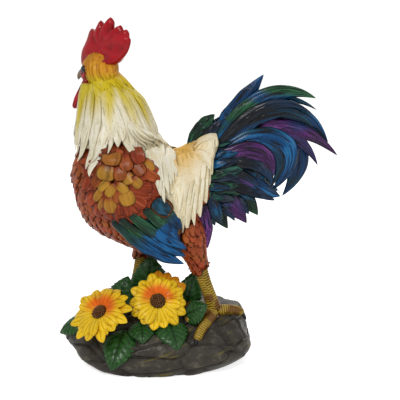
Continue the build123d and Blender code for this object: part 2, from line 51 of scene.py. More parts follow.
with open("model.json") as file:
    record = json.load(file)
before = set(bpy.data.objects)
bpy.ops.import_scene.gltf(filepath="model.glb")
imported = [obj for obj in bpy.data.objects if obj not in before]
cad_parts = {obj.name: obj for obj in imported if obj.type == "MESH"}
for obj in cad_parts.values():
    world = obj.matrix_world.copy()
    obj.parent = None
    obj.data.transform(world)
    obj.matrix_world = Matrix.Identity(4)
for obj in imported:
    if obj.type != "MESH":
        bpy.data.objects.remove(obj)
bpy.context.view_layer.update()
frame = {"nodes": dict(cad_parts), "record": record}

MM = 0.001
BODY = "root"
UP = Vector((0, 0, 1))
SIDES = {"left": -1, "right": 1}
PAINT_LAYERS = ("wash", "tone", "warm")


def node_middle(node):
    """Middle of a casting's box, in millimetres."""
    low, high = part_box(node)
    return (low + high) / 2 / MM


# Places on the bird, found from the castings
RUMP = node_middle("tail_rod")
SHOULDER = RUMP + Vector((-98.0, 0.0, 9.3))
BODY_MIDDLE = SHOULDER.z - 30.0
HALF_BODY_WIDTH = 40.0
HEAD = node_middle("head")
# The head's turn to its right, with the directions ahead of it and to its left
HEAD_TURN = math.radians(40)
HEAD_WAY = Vector((-math.cos(HEAD_TURN), math.sin(HEAD_TURN), 0))
HEAD_LEFT = UP.cross(HEAD_WAY)
# Distance to the side, and height over the rock, where lines towards the castings start
FAR_SIDE = 140.0
FAR_UP = 150.0

# Boulder: noise steps per millimetre for its lumps, facets and chips, and its grid
LUMPS = 0.05
FACETS = 0.035
CHIPS = 0.06
ROCK_GRID = (150, 220)
ROCK_LENGTH = 166.0
ROCK_DEPTH = 116.0

# Legs: ankle, knee, then each toe's reach from the heel with the lift of its tip
LEGS = {
    "left": (
        (51.5, -22.0, 50.4), (39.3, -23.5, 87.4),
        [(-16, -31, 0), (-25, -15, 0), (-27, 4, 0), (25, 9, 8)],
    ),
    "right": (
        (-19.9, 22.0, 53.0), (-13.4, 22.0, 87.4),
        [(-26, -13, 0), (-30, -1, 0), (-24, 10, 0), (20, 5, 0)],
    ),
}
HEEL_DROP = 3.1
SHANK_RADIUS = 6.0
SHANK_SCUTES = 21
SHANK_TOP = 6.0
TOE_RADIUS = 4.6
TOE_SCUTES = 16
CLAW_RADIUS = 2.3

# Breast and thighs: castings, gap between feathers, share of full size, share of full lift and flow
BREAST_FEATHERS = {
    "breast_feathers": (("left_body_shell", "right_body_shell"), 5.0, 1.0, 1.0, (0.45, 0, -1)),
    "thigh_feathers": (("left_thigh", "right_thigh"), 4.4, 0.8, 0.5, (0.1, 0, -1)),
}
BREAST_TOP = 186.0

# Tail feathers: paint, width, how far out, and curve from the rump
TAIL_SINGLES = {
    "tail_top_blue": ("blue", 20.0, 0.06, [(1, 20), (13, 41), (28, 64), (48, 90)]),
    "tail_green_sickle": ("green", 17.0, -0.06, [(2, 20), (24, 57), (54, 89), (93, 70)]),
    "tail_blue_sickle": ("blue", 25.0, 0.06, [(4, 12), (32, 51), (75, 78), (105, 30)]),
    "tail_purple_sickle": ("purple", 17.0, -0.06, [(5, 10), (37, 48), (71, 61), (113, 20)]),
    "tail_left_curl": ("blue", 25.0, -0.18, [(5, 14), (41, 50), (93, 35), (57, -9)]),
    "tail_right_curl": ("blue", 26.0, 0.18, [(5, 14), (45, 55), (106, 31), (66, -18)]),
    "tail_low_green": ("green", 15.0, 0.00, [(0, -20), (6, -24), (10, -34), (18, -46)]),
    "tail_back_covert": ("green", 15.0, 0.00, [(-15, 22), (-11, 36), (-3, 48), (6, 56)]),
}
TAIL_PAIRS = {
    "inner_blue": ("purple", 20.0, 0.30, [(4, 12), (28, 33), (58, 28), (54, -1)]),
    "lower_blue": ("blue", 21.0, 0.30, [(3, 3), (19, 6), (41, -6), (63, -14)]),
    "green": ("green", 20.0, 0.18, [(3, -8), (18, -5), (33, -14), (44, -32)]),
    "low_purple": ("purple", 18.0, 0.30, [(1, -12), (13, -12), (24, -22), (34, -38)]),
    "fluff": ("purple", 16.0, 0.62, [(-6, -18), (-4, -28), (-4, -41), (0, -57)]),
}
TAIL_THICK = 5.6
# Neighbours in the tail with the number of smaller feathers that fill the space between them, on each side
TAIL_FILL = [
    ("tail_left_inner_blue", "tail_left_curl", 5), ("tail_left_curl", "tail_purple_sickle", 3),
    ("tail_blue_sickle", "tail_green_sickle", 3), ("tail_green_sickle", "tail_top_blue", 2),
    ("tail_left_lower_blue", "tail_left_inner_blue", 4), ("tail_left_green", "tail_left_lower_blue", 3),
    ("tail_left_low_purple", "tail_left_green", 2), ("tail_left_fluff", "tail_left_low_purple", 3),
    ("tail_back_covert", "tail_top_blue", 3),
]
FILL_THICK = 4.4
FILL_PAINTS = ("shadow", "blue", "shadow", "green", "blue", "shadow", "purple")
FILL_SLOTS = {"shadow": "tail_core", "blue": "tail_blue", "green": "tail_green", "purple": "tail_purple"}
ROOT_PAINTS = ("shadow", "blue", "shadow", "green")
ROOT_GAP = 6.4

# Wing coverts fan out from one point: distance of the roots from it, share of full reach, width and count
FAN_MIDDLE = Vector((-27.0, 0.0, 163.0))
FAN_ROWS = ((12, 1.0, 15.0, 12), (5, 0.74, 13.0, 11))
FAN_START = 30.0
FAN_SPREAD = 200.0
# Flight feathers: curves from the shoulder
FLIGHTS = [
    [(17, -36), (36, -55), (58, -70), (78, -76)],
    [(28, -33), (45, -44), (64, -62), (79, -69)],
    [(37, -30), (49, -39), (66, -55), (80, -62)],
    [(43, -24), (54, -30), (65, -42), (73, -55)],
]
FLIGHT_WIDTH = 14.0
FLIGHT_THICK = 5.0
# Green coverts over the flights: root in X and Z, turn in degrees and length
GREEN_COVERTS = ((-27, 138, -40, 48), (-18, 142, -43, 50), (-7, 147, -46, 46), (0, 152, -46, 36))
# Round blue coverts with a brown rim: root in X and Z, and turn in degrees
RIMMED_COVERTS = ((0, 153, -42), (9, 133, -48))
# Short feathers on the shoulder: middle in X and Z, turn in degrees, length, width and how golden
SHOULDER_FEATHERS = [
    (-47, 186, -108, 15, 13, 0.0), (-52, 174, -110, 15, 12, 0.0), (-53, 163, -112, 14, 12, 0.0),
    (-50, 152, -112, 14, 12, 0.0), (-45, 143, -105, 13, 11, 0.0), (-24, 193, -80, 15, 14, 0.0),
    (-13, 187, -62, 15, 13, 0.0), (-35, 194, -92, 14, 20, 0.05), (-4, 180, -55, 12, 10, 0.75),
    (-2, 173, -35, 13, 11, 0.1), (1, 170, -40, 11, 10, 0.1), (-33, 186, -95, 14, 18, 0.45),
    (-21, 182, -70, 14, 13, 0.15), (-11, 178, -50, 13, 12, 0.15), (-45, 177, -112, 13, 11, 0.1),
    (-37, 174, -100, 14, 18, 0.9), (-26, 174, -80, 13, 13, 0.2), (-19, 170, -62, 12, 11, 0.85),
    (-12, 168, -45, 11, 9.5, 0.8), (-45, 167, -115, 12, 10, 0.15), (-39, 163.5, -140, 12, 8.5, 1.0),
    (-24, 163, -38, 13, 9.5, 1.0), (-33.5, 160.5, -130, 13, 9.0, 1.0), (-43, 156, -125, 13, 8.0, 0.8),
    (-27, 156, -85, 13, 12, 0.2), (-20.5, 155, -68, 15, 15.5, 0.9), (-40.5, 149.5, -110, 13, 9.0, 0.7),
    (-34, 149, -85, 14, 12.5, 0.75),
]
SHOULDER_TOP = Vector((-36, 0, 205))

# Rings up the neck: height, middle along the bird, half length and half width
NECK_RINGS = [
    (160.4, -35.7, 32.6, 26.5), (178.6, -34.0, 35.3, 31.5), (196.9, -33.0, 35.8, 30.9),
    (215.1, -34.4, 33.6, 27.7), (233.4, -38.0, 28.6, 22.6), (246.8, -43.8, 19.2, 15.6),
    (256.4, -46.8, 13.6, 10.7),
]
NECK_LEAN = 0.052
NECK_TOP = 254.0
# Where the hackles end round the neck: turn from the front in degrees, and height
NECK_TIPS = [
    (0, 188), (34, 184), (50, 180), (64, 171), (80, 188), (95, 196), (115, 179), (126, 177), (150, 184),
    (180, 186),
]
# Layers of neck hackles: count, share of full width, height of the roots, and how far the tips are raised
NECK_LAYERS = ((26, 1.5, 240, 0.0), (22, 1.3, 228, 9.0))
COLLAR_LOCKS = 34
COLLAR_TOP = 263.0
COLLAR_END = 240.0
# Hackles that sweep from the nape over the shoulder: tip places in X and Z
SWEEP_TIPS = [
    (18, 177), (13, 175), (20, 172), (7, 171), (16, 166), (18, 168), (5, 164), (14, 158), (7, 157),
    (10.5, 150),
]
# Outline of nape and back: place along the bird and height
BACK_OUTLINE = [
    (-30, 250), (-20, 241), (-12, 231), (-6, 219), (-2, 208), (1, 201), (4, 195), (8, 191), (14, 188),
    (22, 189.5), (31, 194.5), (40, 198), (50, 201),
]
# Ridge of the back: place along the bird, height and half width
BACK_RINGS = [
    (-14, 204, 38), (-4, 196, 41), (6, 190.5, 43), (14, 188, 43.5), (22, 189.5, 43), (31, 194.5, 41),
    (40, 198, 38), (50, 201, 34),
]
BACK_MIDDLE = 160.0
BELLY_DROP = 62.0
# Where the saddle starts, how long it is, and where it ends on the side: place along the bird and height
SADDLE_START = -8.0
SADDLE_LENGTH = 58.0
SADDLE_HEM = [
    (-14, 190), (4, 176), (10, 152), (16, 134), (22, 128), (29, 131), (37, 139), (45, 155), (50, 176),
]
# Hackles of the saddle: start along the bird, then the tip in X and Z
SADDLE_TIPS = [
    (12, 10, 141), (14, 14, 131), (17, 20, 118), (20, 25, 124), (24, 29, 124), (27, 35, 129), (30, 40, 138),
    (33, 45, 149), (36, 48, 161), (39, 50, 173), (41, 51, 184), (41, 50, 192),
]
SADDLE_LAYERS = 3
LAYER_RISE = 13.0
# Places along a hackle where it is laid on what lies under it
STATIONS = (0.0, 0.2, 0.4, 0.6, 0.8, 1.0)
NECK_STATIONS = (0.0, 0.15, 0.3, 0.45, 0.6, 0.75, 0.9, 1.0)

# Sunflowers: facing, petal count and petal length
FLOWERS = {"left": ((-0.42, -0.52, 0.74), 13, 21.0), "right": ((0.05, -0.82, 0.57), 14, 18.0)}
PETAL_WIDTH = 10.4
PETAL_THICK = 1.9
# Layers of petals: share of full length, and height over the middle of the disc
PETAL_LAYERS = ((1.0, -2.6), (0.82, -0.6))
# Turns in degrees of the four extra petals behind the upper edge of the right flower, painted darker and
# orange as painted shade
BACK_PETALS = (35, 52, 70, 88)
FLORETS = 70
DISC_RADIUS = 6.6
DISC_DOME = 2.4
# Leaves: width, root as shares of the rock, lift, run and facing
LEAVES = {
    "leaf_far_left": (18.0, (-0.37, -0.19), 3.0, (-23, 3, -11), (-0.4, -0.5, 0.8)),
    "leaf_front_left": (25.0, (-0.15, -0.38), 2.0, (-10, -23, -24), (-0.2, -0.7, 0.7)),
    "leaf_front_middle": (19.0, (-0.07, -0.34), 2.0, (3, -22, -9), (0.1, -0.6, 0.8)),
    "leaf_front_right": (24.0, (0.07, -0.33), 2.0, (9, -24, -16), (0.1, -0.6, 0.8)),
    "leaf_near_foot": (19.0, (0.16, -0.28), 1.0, (18, -8, 14), (-0.3, -0.7, 0.6)),
    "leaf_behind_right_flower": (20.0, (0.16, -0.09), -1.0, (8, 2, 32), (0.1, -0.9, 0.2)),
    "leaf_behind_left_flower": (22.0, (-0.20, -0.08), -1.0, (8, 4, 27), (-0.2, -0.9, 0.2)),
    "leaf_tall": (29.0, (-0.04, 0.08), -1.0, (2, 0, 41), (0.0, -1.0, 0.1)),
}
LEAF_SPREAD = 1.18
LEAF_THICK = 3.6
LEAF_TEETH = 9
LEAF_VEINS = 7

# Comb outline: forward and up from the middle of the head, and the point that its folds spread from
COMB_THICK = 9.0
COMB_SINK = 1.4
COMB_FOLDS = 8
COMB_FOOT = (-4.0, 21.0)
COMB_OUTLINE = [
    (17.4, 9.2), (21.2, 2.6), (22.6, 8.0), (20.6, 16.0), (17.0, 21.6), (14.0, 26.4), (11.2, 32.6),
    (8.2, 35.6), (4.6, 33.4), (1.0, 38.4), (-2.6, 42.8), (-5.8, 38.8), (-9.8, 42.2), (-14.0, 45.6),
    (-17.4, 42.8), (-17.8, 35.6), (-22.0, 38.0), (-26.2, 39.4), (-29.4, 35.6), (-32.6, 36.2), (-35.2, 33.8),
    (-35.4, 30.0), (-37.0, 28.0), (-36.4, 23.4), (-33.2, 17.2), (-28.6, 12.6), (-21.6, 7.4), (-15.8, 5.4),
    (-9.6, 3.8), (-4.6, 5.0), (-1.0, 7.6), (3.4, 10.6), (9.4, 13.8),
]
# Halves of the beak: forward and up from the middle of the head, length, hook and radius
BEAK_HALVES = ((10, -2.6, 17, 8.6, 5.4), (10, -7.2, 13, 2.2, 3.6))
WATTLE_WIDTH = 9.0
WATTLE_THICK = 5.0
EYE_RADIUS = 3.0
LID_RADIUS = 3.1
LID_THICK = 0.7

# Lamps: power in watts, then size and place in metres
LAMPS = {
    "key_lamp": (6.6, 0.36, (-0.35, -0.95, 0.95)),
    "fill_lamp": (2.4, 0.6, (0.9, -0.8, 0.6)),
    "back_lamp": (5.0, 0.6, (0.3, 0.9, 0.9)),
}
LAMP_AIM = Vector((0.02, 0, 0.15))
WHITE = (1, 1, 1, 1)
ROOM_LIGHT = 0.38
FLOOR_GLOW = 0.72
FLOOR_RADIUS_M = 12.0
SENSOR_WIDTH = 36.0
LENS_LENGTH = 92.05
VIEW_ELEVATION = math.radians(13)
VIEW_DISTANCE = 900.0
VIEW_TARGET = Vector((39.6, 0, 142.0))

# Painted resin: name, dark wash, base coat, dry-brushed light, roughness, clear coat, second colour and width
# of the brush marks in millimetres. A colour is a hex value or the name of one of the figure's settings.
BLACK = "#0A0A0C"
RESIN_PAINTS = {
    # Satin acrylic on the breast: nearly black between feathers, orange where the brush caught the edge
    "rust": ("Rust resin paint", "#200A06", "rust", "#A84E2C", 0.42, 0.1, "gold", 2.0),
    # Matt cream over a grey wash that stays in the grooves, yellow towards the head
    "cream": ("Cream hackle paint", "#94865A", "cream", "#EEE8D6", 0.5, 0.05, "yellow", 2.0),
    # The same cream with the warm gold of the back
    "saddle": ("Cream saddle paint", "#98845C", "#E6D6AC", "#F0E8D0", 0.5, 0.05, "saddle_gold", 2.0),
    # Soft ochre airbrushed over the combed head
    "ochre": ("Ochre head paint", "#9A5C12", "ochre", "#D49A2C", 0.45, 0.1, "yellow", 2.0),
    # Gloss crimson with a clear coat, wet-looking on the comb
    "crimson": ("Gloss crimson paint", "#480408", "crimson", "#AE1420", 0.26, 0.2, None, 4.0),
    # Gloss metallic-looking blues, greens and purples over black, with pale edges from the dry brush
    "blue": ("Gloss blue paint", BLACK, "blue", "#1C6496", 0.26, 0.15, "green", 1.6),
    "flight": ("Gloss flight blue paint", BLACK, "flight", "#125E96", 0.26, 0.15, "green", 1.6),
    "green": ("Gloss green paint", BLACK, "green", "#2E6440", 0.26, 0.15, "blue", 1.6),
    "purple": ("Gloss purple paint", BLACK, "purple", "#763C7E", 0.26, 0.15, "blue", 1.6),
    # Near-black core of the tail, with a trace of blue
    "shadow": ("Black tail wash", BLACK, "#10161A", "#34363A", 0.28, 0.15, "blue", 2.0),
    # Yellow scales with a brown wash between them
    "leg": ("Yellow leg paint", "#4E2E0E", "leg", "#B0922E", 0.35, 0.2, "#6E4218", 2.0),
    # Horn-coloured beak, paler towards its root
    "horn": ("Horn paint", "#2E241E", "#6A5848", "#8E7A66", 0.35, 0.2, "#C4AC88", 2.0),
    # Satin petals, airbrushed from orange at the heart to yellow
    "petal": ("Petal airbrush", "#8A5A08", "petal", "#F6D23C", 0.42, 0.1, "petal_heart", 2.0),
    # Stippled brown florets
    "disc": ("Floret stipple", "#1A0C06", "#5A3418", "#A0784A", 0.5, 0.05, None, 2.0),
    # Dark green with a lighter dusting, slightly glossy
    "leaf": ("Leaf paint", "#0C1C0C", "leaf", "#3E6E32", 0.34, 0.2, None, 2.0),
    # Washed grey stone with olive streaks dry-brushed on
    "rock": ("Stone wash", "#1E1C1A", "rock", "#6E685A", 0.45, 0.1, "#7A6E2A", 5.0),
}
# Finishes without paint layers: name, colour, roughness, grain in millimetres, metallic and clear coat
PLAIN_FINISHES = {
    # Lacquer on claws and eyelids, and the wetter gloss of the eyes
    "claw": ("Black claw lacquer", BLACK, 0.35, 1.0, 0.0, 0.1),
    "eye": ("Glass eye gloss", "#020202", 0.15, 1.0, 0.0, 0.3),
    # Undercoats of the castings that show only between the carved feathers
    "rust_under": ("Rust undercoat", "#6E2812", 0.5, 1.5, 0.0, 0.0),
    "tail_under": ("Black undercoat", "#12181E", 0.4, 1.5, 0.0, 0.0),
    "ochre_under": ("Ochre undercoat", "#B87618", 0.5, 1.5, 0.0, 0.0),
    # Dull fibres under the rock
    "felt": ("Pressed felt", "#2E2E2C", 0.85, 0.8, 0.0, 0.0),
    # Bare wire inside the castings, and the painted wire of the flower stems
    "steel": ("Drawn steel wire", "#A0A0A0", 0.35, 0.6, 1.0, 0.0),
    "stem": ("Painted wire", "#2E4C22", 0.45, 1.2, 0.0, 0.0),
}


def hex_colour(code):
    """An sRGB hex colour as linear RGBA."""
    channels = [int(code[place:place + 2], 16) / 255 for place in (1, 3, 5)]
    linear = [c / 12.92 if c <= 0.04045 else ((c + 0.055) / 1.055) ** 2.4 for c in channels]
    return (*linear, 1.0)


def colour_property(label, description, code):
    """A colour that a user may change."""
    return bpy.props.FloatVectorProperty(
        name=label, description=description, subtype="COLOR", size=4, min=0, max=1, default=hex_colour(code)
    )


def length_property(label, description, millimetres):
    """A length that a user may change."""
    return bpy.props.FloatProperty(
        name=label, description=description, subtype="DISTANCE", unit="LENGTH", min=0,
        default=millimetres * MM,
    )


class RoosterPaint(bpy.types.PropertyGroup):
    """Base coats of the figure"""

    rust: colour_property("Rust", "Base coat of breast, wing and thighs", "#8A3418")
    gold: colour_property("Gold", "Rounded shoulder feathers", "#B4842C")
    cream: colour_property("Cream", "Base coat of the hackles", "#DED5B6")
    yellow: colour_property("Hackle yellow", "Top of the neck hackles", "#CDB71C")
    saddle_gold: colour_property("Saddle gold", "Middle of the back", "#E8B238")
    ochre: colour_property("Ochre", "Head", "#CC861C")
    crimson: colour_property("Crimson", "Comb and wattles", "#A20A18")
    blue: colour_property("Blue", "Tail feathers", "#093E6C")
    flight: colour_property("Flight blue", "Flight feathers", "#064A7C")
    green: colour_property("Green", "Tail feathers", "#143F28")
    purple: colour_property("Purple", "Tail feathers", "#4E2460")
    leg: colour_property("Leg yellow", "Shanks and toes", "#8E7018")
    petal: colour_property("Petal yellow", "Petals", "#EEBE0A")
    petal_heart: colour_property("Petal orange", "Inner half of the petals", "#EC6A12")
    leaf: colour_property("Leaf green", "Leaves", "#1F461B")
    rock: colour_property("Rock", "Boulder", "#443F38")


class RoosterRelief(bpy.types.PropertyGroup):
    """Depth and size of the carving"""

    scale_length: length_property("Breast feather length", "Length of one breast feather", 14.0)
    scale_width: length_property("Breast feather width", "Width of one breast feather", 11.0)
    scale_lift: length_property("Breast feather lift", "How far a breast feather's tip stands off", 1.3)
    lock_width: length_property("Hackle width", "Width of one hackle", 10.0)
    lock_thick: length_property("Hackle thickness", "Thickness of one hackle", 2.8)
    groove_depth: length_property("Groove depth", "Depth of the grooves in tail and hackles", 0.8)
    rock_relief: length_property("Rock relief", "Height of the rock's lumps", 4.0)


def smooth(low, high, value):
    """A soft step from 0 at low to 1 at high."""
    share = min(1.0, max(0.0, (value - low) / (high - low)))
    return share * share * (3 - 2 * share)


def between(first, second, share):
    """A value part of the way from the first to the second."""
    return first + (second - first) * share


def ripple(x, y, z):
    """Smooth noise, about zero, at a place."""
    return noise.noise(Vector((x, y, z)))


def spoke(first, second, turn):
    """A direction turned from the first towards the second."""
    return first * math.cos(turn) + second * math.sin(turn)


def side_way(degrees):
    """A direction in side view, turned up from straight back."""
    turn = math.radians(degrees)
    return Vector((math.cos(turn), 0, math.sin(turn)))


def level_way(turn):
    """A level direction, turned from straight ahead to the bird's left."""
    return Vector((-math.cos(turn), -math.sin(turn), 0))


def ball_way(s, t, half=Vector((1, 1, 1))):
    """A point on a ball, or on an egg with three half sizes: s runs from pole to pole and t around."""
    tilt, turn = math.pi * (s - 0.5), math.pi * t
    level = math.cos(tilt)
    x, y = half.x * level * math.cos(turn), half.y * level * math.sin(turn)
    return Vector((x, y, half.z * math.sin(tilt)))


def at_head(forward, left, lift):
    """A point forward, to the bird's left and up from the middle of the head."""
    return HEAD + HEAD_WAY * forward + HEAD_LEFT * left + UP * lift


def curve_through(points, f):
    """A point part of the way from the second of four points to the third, on a curve through all of them."""
    p, q, r, w = points
    return (q * 2 + (r - p) * f + (p * 2 - q * 5 + r * 4 - w) * f * f + (q * 3 - p - r * 3 + w) * f ** 3) / 2


def read_table(table, key):
    """The rest of a row, read smoothly from a table that is sorted by its first column."""
    last = len(table) - 1
    step = min(max(sum(row[0] <= key for row in table) - 1, 0), last - 1)
    low, high = table[step][0], table[step + 1][0]
    rows = [Vector((*table[min(max(step + shift, 0), last)][1:], 0)) for shift in (-1, 0, 1, 2)]
    return curve_through(rows, min(1.0, max(0.0, (key - low) / (high - low))))


class Skin:
    """The outside of some castings, in millimetres, to lay feathers on."""

    def __init__(self, *nodes):
        self.points = []
        self.faces = []
        for node in nodes:
            mesh = frame["nodes"][node].data
            start = len(self.points)
            self.points += [vert.co / MM for vert in mesh.vertices]
            self.faces += [[start + index for index in face.vertices] for face in mesh.polygons]
        self.tree = BVHTree.FromPolygons(self.points, self.faces)

    def towards(self, start, aim):
        """Point and normal where a straight line from start to aim meets the skin."""
        point, normal, _, _ = self.tree.ray_cast(start, (aim - start).normalized())
        if point is None:
            return aim, (start - aim).normalized()
        return point, normal

    def below(self, x, y):
        """The highest point of the skin at a place."""
        return self.towards(Vector((x, y, FAR_UP)), Vector((x, y, 0)))[0]

    def scatter(self, gap, seed, keep, tries):
        """Points about gap apart with their normals, where keep says so."""
        draw = random.Random(seed)
        sizes = []
        for face in self.faces:
            a, b, c = (self.points[index] for index in face[:3])
            sizes.append((b - a).cross(c - a).length)
        chosen = {}
        kept = []
        for face in draw.choices(self.faces, sizes, k=tries):
            a, b, c = (self.points[index] for index in face[:3])
            u, v = sorted((draw.random(), draw.random()))
            point = a * u + b * (v - u) + c * (1 - v)
            normal = (b - a).cross(c - a).normalized()
            if not keep(point, normal):
                continue
            cell = tuple(int(value // gap) for value in point)
            near = (
                other
                for x in (-1, 0, 1)
                for y in (-1, 0, 1)
                for z in (-1, 0, 1)
                for other in chosen.get((cell[0] + x, cell[1] + y, cell[2] + z), ())
            )
            if all((other - point).length >= gap for other in near):
                chosen.setdefault(cell, []).append(point)
                kept.append((point, normal))
        return kept


class Casting:
    """A mesh in the making: grids bent into shape one by one, with the layers that the paint reads."""

    def __init__(self):
        self.mesh = bmesh.new()
        self.layers = {name: self.mesh.verts.layers.float.new(name) for name in PAINT_LAYERS}

    def lay(self, columns, rows, place, tone=0.5):
        """One closed shape: s runs 0 to 1 along it and t from -1 to 1 around it."""
        made = bmesh.ops.create_grid(self.mesh, x_segments=columns, y_segments=rows, size=1.0)["verts"]
        for vert in made:
            point, wash, warm = place((vert.co.x + 1) / 2, vert.co.y)
            vert.co = point * MM
            for name, value in zip(PAINT_LAYERS, (wash, tone, warm)):
                vert[self.layers[name]] = value
        bmesh.ops.remove_doubles(self.mesh, verts=made, dist=0.002 * MM)

    def finish(self, name, material, slot, *replaced):
        """Turn the mesh into a piece that rides on the figure."""
        bmesh.ops.recalc_face_normals(self.mesh, faces=self.mesh.faces)
        for face in self.mesh.faces:
            face.smooth = True
        mesh = bpy.data.meshes.new(name)
        self.mesh.to_mesh(mesh)
        self.mesh.free()
        mesh.materials.append(material)
        piece = bpy.data.objects.new(name, mesh)
        bpy.context.scene.collection.objects.link(piece)
        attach(piece, BODY)
        if replaced:
            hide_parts(*replaced)


def bezier_spine(points, face):
    """A spine along four pulls, with one facing direction."""
    a, b, c, d = points

    def spine(s):
        r = 1 - s
        point = a * r ** 3 + b * (3 * r * r * s) + c * (3 * r * s * s) + d * s ** 3
        along = (b - a) * (r * r) + (c - b) * (2 * r * s) + (d - c) * (s * s)
        return point, along.normalized(), face

    return spine


def draped_spine(stations):
    """A smooth spine through points on a skin, facing along their normals."""
    points = [point for point, _ in stations]
    normals = [normal for _, normal in stations]
    last = len(points) - 1

    def spine(s):
        place = min(s * last, last - 0.0001)
        step = int(place)
        f = place - step
        near = [points[min(max(step + shift, 0), last)] for shift in (-1, 0, 1, 2)]
        point = curve_through(near, f)
        along = curve_through(near, f + 0.02) - curve_through(near, f - 0.02)
        return point, along.normalized(), normals[step].lerp(normals[step + 1], f)

    return spine


def swell(s, span):
    """How far a blade has opened out from its root, over a span."""
    return math.sqrt(min(1.0, s / span))


def lance(s):
    """Share of full width along a pointed feather."""
    if s < 0.5:
        return swell(s, 0.05) * (0.55 + 0.45 * math.sin(s * math.pi))
    return math.cos((s - 0.5) * math.pi) ** 0.8 if s < 1 else 0.0


def spade(s):
    """Share of full width along a short rounded feather."""
    root = swell(s, 0.15) * (0.6 + 0.4 * math.sin(min(1.0, s / 0.55) * math.pi / 2))
    return root * math.sqrt(max(0.0, 1 - max(0.0, (s - 0.55) / 0.45) ** 2))


def shield_shape(s):
    """Share of full width along a short feather with a blunt point."""
    root = swell(s, 0.15) * (0.7 + 0.3 * math.sin(min(1.0, s / 0.5) * math.pi / 2))
    return root * max(0.0, 1 - max(0.0, (s - 0.45) / 0.55) ** 2) ** 0.75


def hackle_shape(s):
    """Share of full width along a hackle that runs out to a long point."""
    return swell(s, 0.1) * (1 - max(0.0, (s - 0.4) / 0.6) ** 1.3)


def ragged(profile, seed):
    """A profile whose edge wavers."""
    return lambda s: profile(s) * (1 + 0.14 * ripple(s * 7, seed, 0.3))


def petal_shape(s):
    """Share of full width along a petal with a blunt point."""
    root = swell(s, 0.08) * (0.45 + 0.55 * math.sin(min(1.0, s / 0.6) * math.pi / 2))
    return root * max(0.0, 1 - max(0.0, (s - 0.6) / 0.4) ** 1.8) ** 0.7


def leaf_shape(s):
    """Share of full width along a leaf with a toothed edge."""
    body = math.sin(math.pi * s ** 0.75) ** 0.8 if 0 < s < 1 else 0.0
    return body * (1 + 0.13 * (0.5 - (s * LEAF_TEETH) % 1))


def flap_shape(s):
    """Share of full width along a wattle."""
    return math.sqrt(max(0.0, math.sin(math.pi * s ** 1.6)))


def strands(seed, lanes, depth, stretch, shade=0.78):
    """Long carved grooves: depth and wash at s along and c across."""

    def relief(s, c):
        wander = 0.5 * ripple(s * stretch * 2, seed, 0.5)
        ridge = smooth(0.0, 0.16, abs(ripple(s * stretch, c * lanes + wander, seed)))
        edge = 0.25 + 0.75 * smooth(0.0, 0.16, 1 - abs(c))
        patch = shade + 0.8 * ripple(s * 3, c * 0.9, seed + 9)
        scratch = 0.5 * ripple(s * stretch * 3, c * lanes * 4, seed + 4)
        return (ridge - 1) * depth, ridge * (patch + scratch) * edge * (0.3 + 0.7 * smooth(0.0, 0.15, s))

    return relief


def hair(seed, lanes, depth):
    """Fine combed grooves of a hackle, nearly even in tone."""

    def relief(s, c):
        wander = 0.6 * ripple(s * 2, seed, 0.5)
        ridge = smooth(0.0, 0.2, abs(ripple(s * 0.9, c * lanes + wander, seed)))
        fine = ripple(s * 1.5, c * lanes * 3, seed + 5)
        edge = smooth(0.0, 0.1, 1 - abs(c))
        return (ridge - 1) * depth + fine * 0.12, (0.62 + 0.3 * ridge + 0.25 * fine) * (0.72 + 0.28 * edge)

    return relief


def barbed(seed):
    """Fine barbs across a rounded feather, with a dark rim."""

    def relief(s, c):
        barb = ripple(s * 1.2, c * 8, seed)
        rim = smooth(0.0, 0.2, 1 - abs(c)) * smooth(0.0, 0.12, 1 - s)
        return barb * 0.4, (0.68 + 0.6 * barb) * (0.25 + 0.75 * rim) * (0.4 + 0.6 * smooth(0.0, 0.35, s))

    return relief


def shingled(s, c):
    """Relief of a short feather: a thin dark rim round a plain crown."""
    rim = 0.9 * smooth(0.0, 0.22, 1 - abs(c)) * smooth(0.0, 0.14, 1 - s)
    return 0.0, rim * (0.5 + 0.5 * smooth(0.0, 0.5, s))


def veined(s, c):
    """Relief of a leaf: a sunk midrib and side veins."""
    side = abs(((s * LEAF_VEINS - abs(c) * 1.8) % 1) - 0.5) * 2
    rib = smooth(0.0, 0.12, abs(c))
    vein = smooth(0.0, 0.35, 1 - side)
    return (rib - 1) * 0.8 + (vein - 1) * 0.45, (0.4 + 0.6 * rib) * (0.5 + 0.3 * vein)


def creased(s, c):
    """Relief of a petal: two shallow creases that fade at its point."""
    crease = abs(math.sin(c * math.pi * 1.5))
    return (crease - 1) * 0.35 * (1 - s), 0.45 + 0.55 * crease


def section(spine, s):
    """Middle of a blade or limb at s, with the directions across it and out of it."""
    middle, along, face = spine(s)
    across = along.cross(face).normalized()
    return middle, across, across.cross(along)


def lay_blade(casting, spine, width, thick, profile, relief, grid, tone=0.5, warm=None, belly=0.4, cup=0.0):
    """A feather, petal or leaf, lens-shaped across. A belly of 1 carves its back like its face."""

    def place(s, t):
        middle, across, out = section(spine, s)
        c = 1 - 2 * abs(t)
        share = profile(s)
        dome = math.sqrt(max(0.0, 1 - c * c)) * min(1.0, share * 1.6)
        groove, wash = relief(s, c)
        height = (thick / 2 + groove) * dome if t >= 0 or belly == 1 else thick / 2 * dome * belly
        rise = (height if t >= 0 else -height) - cup * c * c * share
        point = middle + across * (c * width / 2 * share) + out * rise
        return point, wash, warm(s, point) if warm else 0.0

    casting.lay(*grid, place, tone)


def lay_limb(casting, spine, girth, grid, tone=0.5, warm=None):
    """A closed round limb. Girth gives its radius and wash at s along and a turn around."""

    def place(s, t):
        middle, across, out = section(spine, s)
        turn = math.pi * t
        radius, wash = girth(s, turn)
        point = middle + spoke(across, out, turn) * radius
        return point, wash, warm(s, point) if warm else 0.0

    casting.lay(*grid, place, tone)


